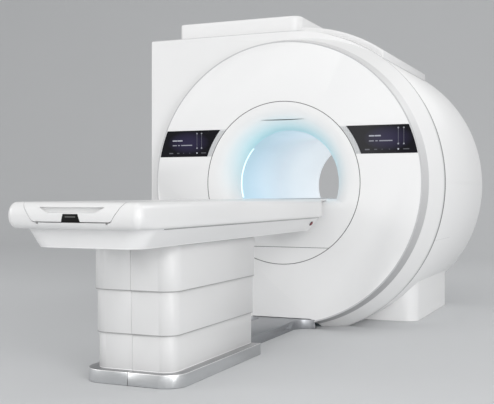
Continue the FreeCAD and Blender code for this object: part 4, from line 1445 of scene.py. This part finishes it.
# %% Finishes for the frame's own pieces
inside_finishes = {
    liner_finish: ["bore_tube"],
    brushed("welded aluminium", (0.62, 0.63, 0.64), (4, 1, 4), 0.45): ["magnet_vessel"],
    moulded("cast coil resin", (0.42, 0.30, 0.12), 0.5, grain=60.0): ["gradient_coil"],
    brushed("machined steel", (0.56, 0.57, 0.58), (1, 12, 1), 0.32): [
        "cold_head", "column_outer", "column_middle", "column_inner", "drive_motor",
        "drive_pulley", "idler_pulley"],
    moulded("grey frame enamel", (0.22, 0.23, 0.25), 0.45, grain=140.0): [
        "magnet_feet", "cover_brackets", "middle_carrier", "base_frame", "pulley_brackets",
        "belt_clamp"],
    moulded("belt rubber", grey(0.02), 0.8, grain=900.0): ["drive_belt"],
}
for finish, names in inside_finishes.items():
    for name in names:
        nodes[name].data.materials.clear()
        nodes[name].data.materials.append(finish)
print("pieces made:", len(made), "and finished:", sum(map(len, inside_finishes.values())))

# %% [markdown]
# ## Floor and backdrop
#
# A pale floor runs up into a backdrop. Two planes would leave a line behind the machine, so one
# plane is extruded upwards at its far edge, and the fold is beveled so widely that it
# disappears.

# %% Floor and backdrop
floor_size, floor_middle, floor_drop, wall_height, bend_radius = 80, -25, 0.0015, 40, 8


def studio_floor():
    finish = Finish("studio paper", Roughness=0.95)
    here, _ = finish.place()
    finish.set("Base Color", finish.between(
        finish.noise(here, 0.4), (0.62, 0.63, 0.64), (0.64, 0.65, 0.66)))
    deselect()
    bpy.ops.mesh.primitive_plane_add(size=floor_size, location=(0, floor_middle, -floor_drop))
    floor = new_piece("studio_floor")
    fold = floor_middle + floor_size / 2
    with editing(floor):
        pick(floor, "EDGE", lambda e: middle(e).y > fold - 1)
        bpy.ops.mesh.extrude_region_move(TRANSFORM_OT_translate={"value": (0, 0, wall_height)})
        pick(floor, "EDGE", lambda e: along(e, 0) and abs(middle(e).y - fold) < 0.1
             and middle(e).z < 1)
        bpy.ops.mesh.bevel(offset=bend_radius, segments=32, affect="EDGES")
    activate(floor)
    bpy.ops.object.shade_smooth()
    floor.data.materials.append(finish.material)
    print("the floor folds up at", fold, "m")


studio_floor()

# %% [markdown]
# ## Light
#
# A large soft light hangs high on the right, weaker ones fill from the left, from the front and
# from low on the right, a weak one hangs overhead, and one behind draws the barrel's edge. The
# world adds an even base. White covers need restraint: the lights are just strong enough that
# a colour renders about as it is written. The camera doesn't see the lights themselves.

# %% World and lights
world = bpy.data.worlds.new("studio")
world.use_nodes = True
background = world.node_tree.nodes["Background"]
background.inputs["Color"].default_value = (1, 1, 1, 1)
background.inputs["Strength"].default_value = 0.66
bpy.context.scene.world = world


def soft_light(name, place, target, size, power):
    deselect()
    bpy.ops.object.light_add(type="AREA", location=place)
    light = bpy.context.object
    light.name = name
    light.data.shape, light.data.size, light.data.energy = "DISK", size, power
    light.visible_camera = False
    aim = Vector(target) - Vector(place)
    light.rotation_euler = aim.to_track_quat("-Z", "Y").to_euler()
    print(name, "from", round(aim.length, 1), "m away:", power, "W")


soft_light("right_key", (6.5, -7.0, 4.2), (0.5, 0, 1.0), 4.0, 215)
soft_light("overhead", (-1.0, -3.0, 7.0), (0, -0.3, 0.8), 5.0, 30)
soft_light("left_fill", (-7.0, -6.0, 3.0), (-0.5, -0.8, 1.0), 4.0, 130)
soft_light("front_fill", (2.5, -9.5, 1.2), (0.3, -0.3, 0.9), 4.0, 75)
soft_light("low_fill", (6.5, -6.0, 1.0), (0.6, 0, 0.5), 3.0, 125)
soft_light("rim", (5.0, 5.0, 6.0), (0.5, 1.0, 1.2), 4.0, 90)

# %% [markdown]
# ## Camera
#
# The photograph's camera stands low, a little under a metre above the floor, right of the
# table, and looks level. Its horizon isn't quite in the middle of the picture. Tilting the
# camera would give that too, but a slight vertical shift keeps the uprights upright.

# %% Camera of the photograph
bpy.ops.object.camera_add(location=(2.2115, -5.7292, 0.9252),
                          rotation=(math.radians(90), 0, math.radians(23.33)))
camera = bpy.context.object
camera.data.lens = 64.2
camera.data.sensor_width = 36
camera.data.shift_y = -0.0164
camera.data.clip_end = 200
bpy.context.scene.camera = camera
bpy.context.scene.view_settings.view_transform = "Standard"
print("camera at", tuple(round(part, 3) for part in camera.location))

# %% [markdown]
# ## The end
#
# The dressed machine has to be as large as the constructed one. Last, the scene is brought up to
# date.

# %% Finish
bpy.context.view_layer.update()
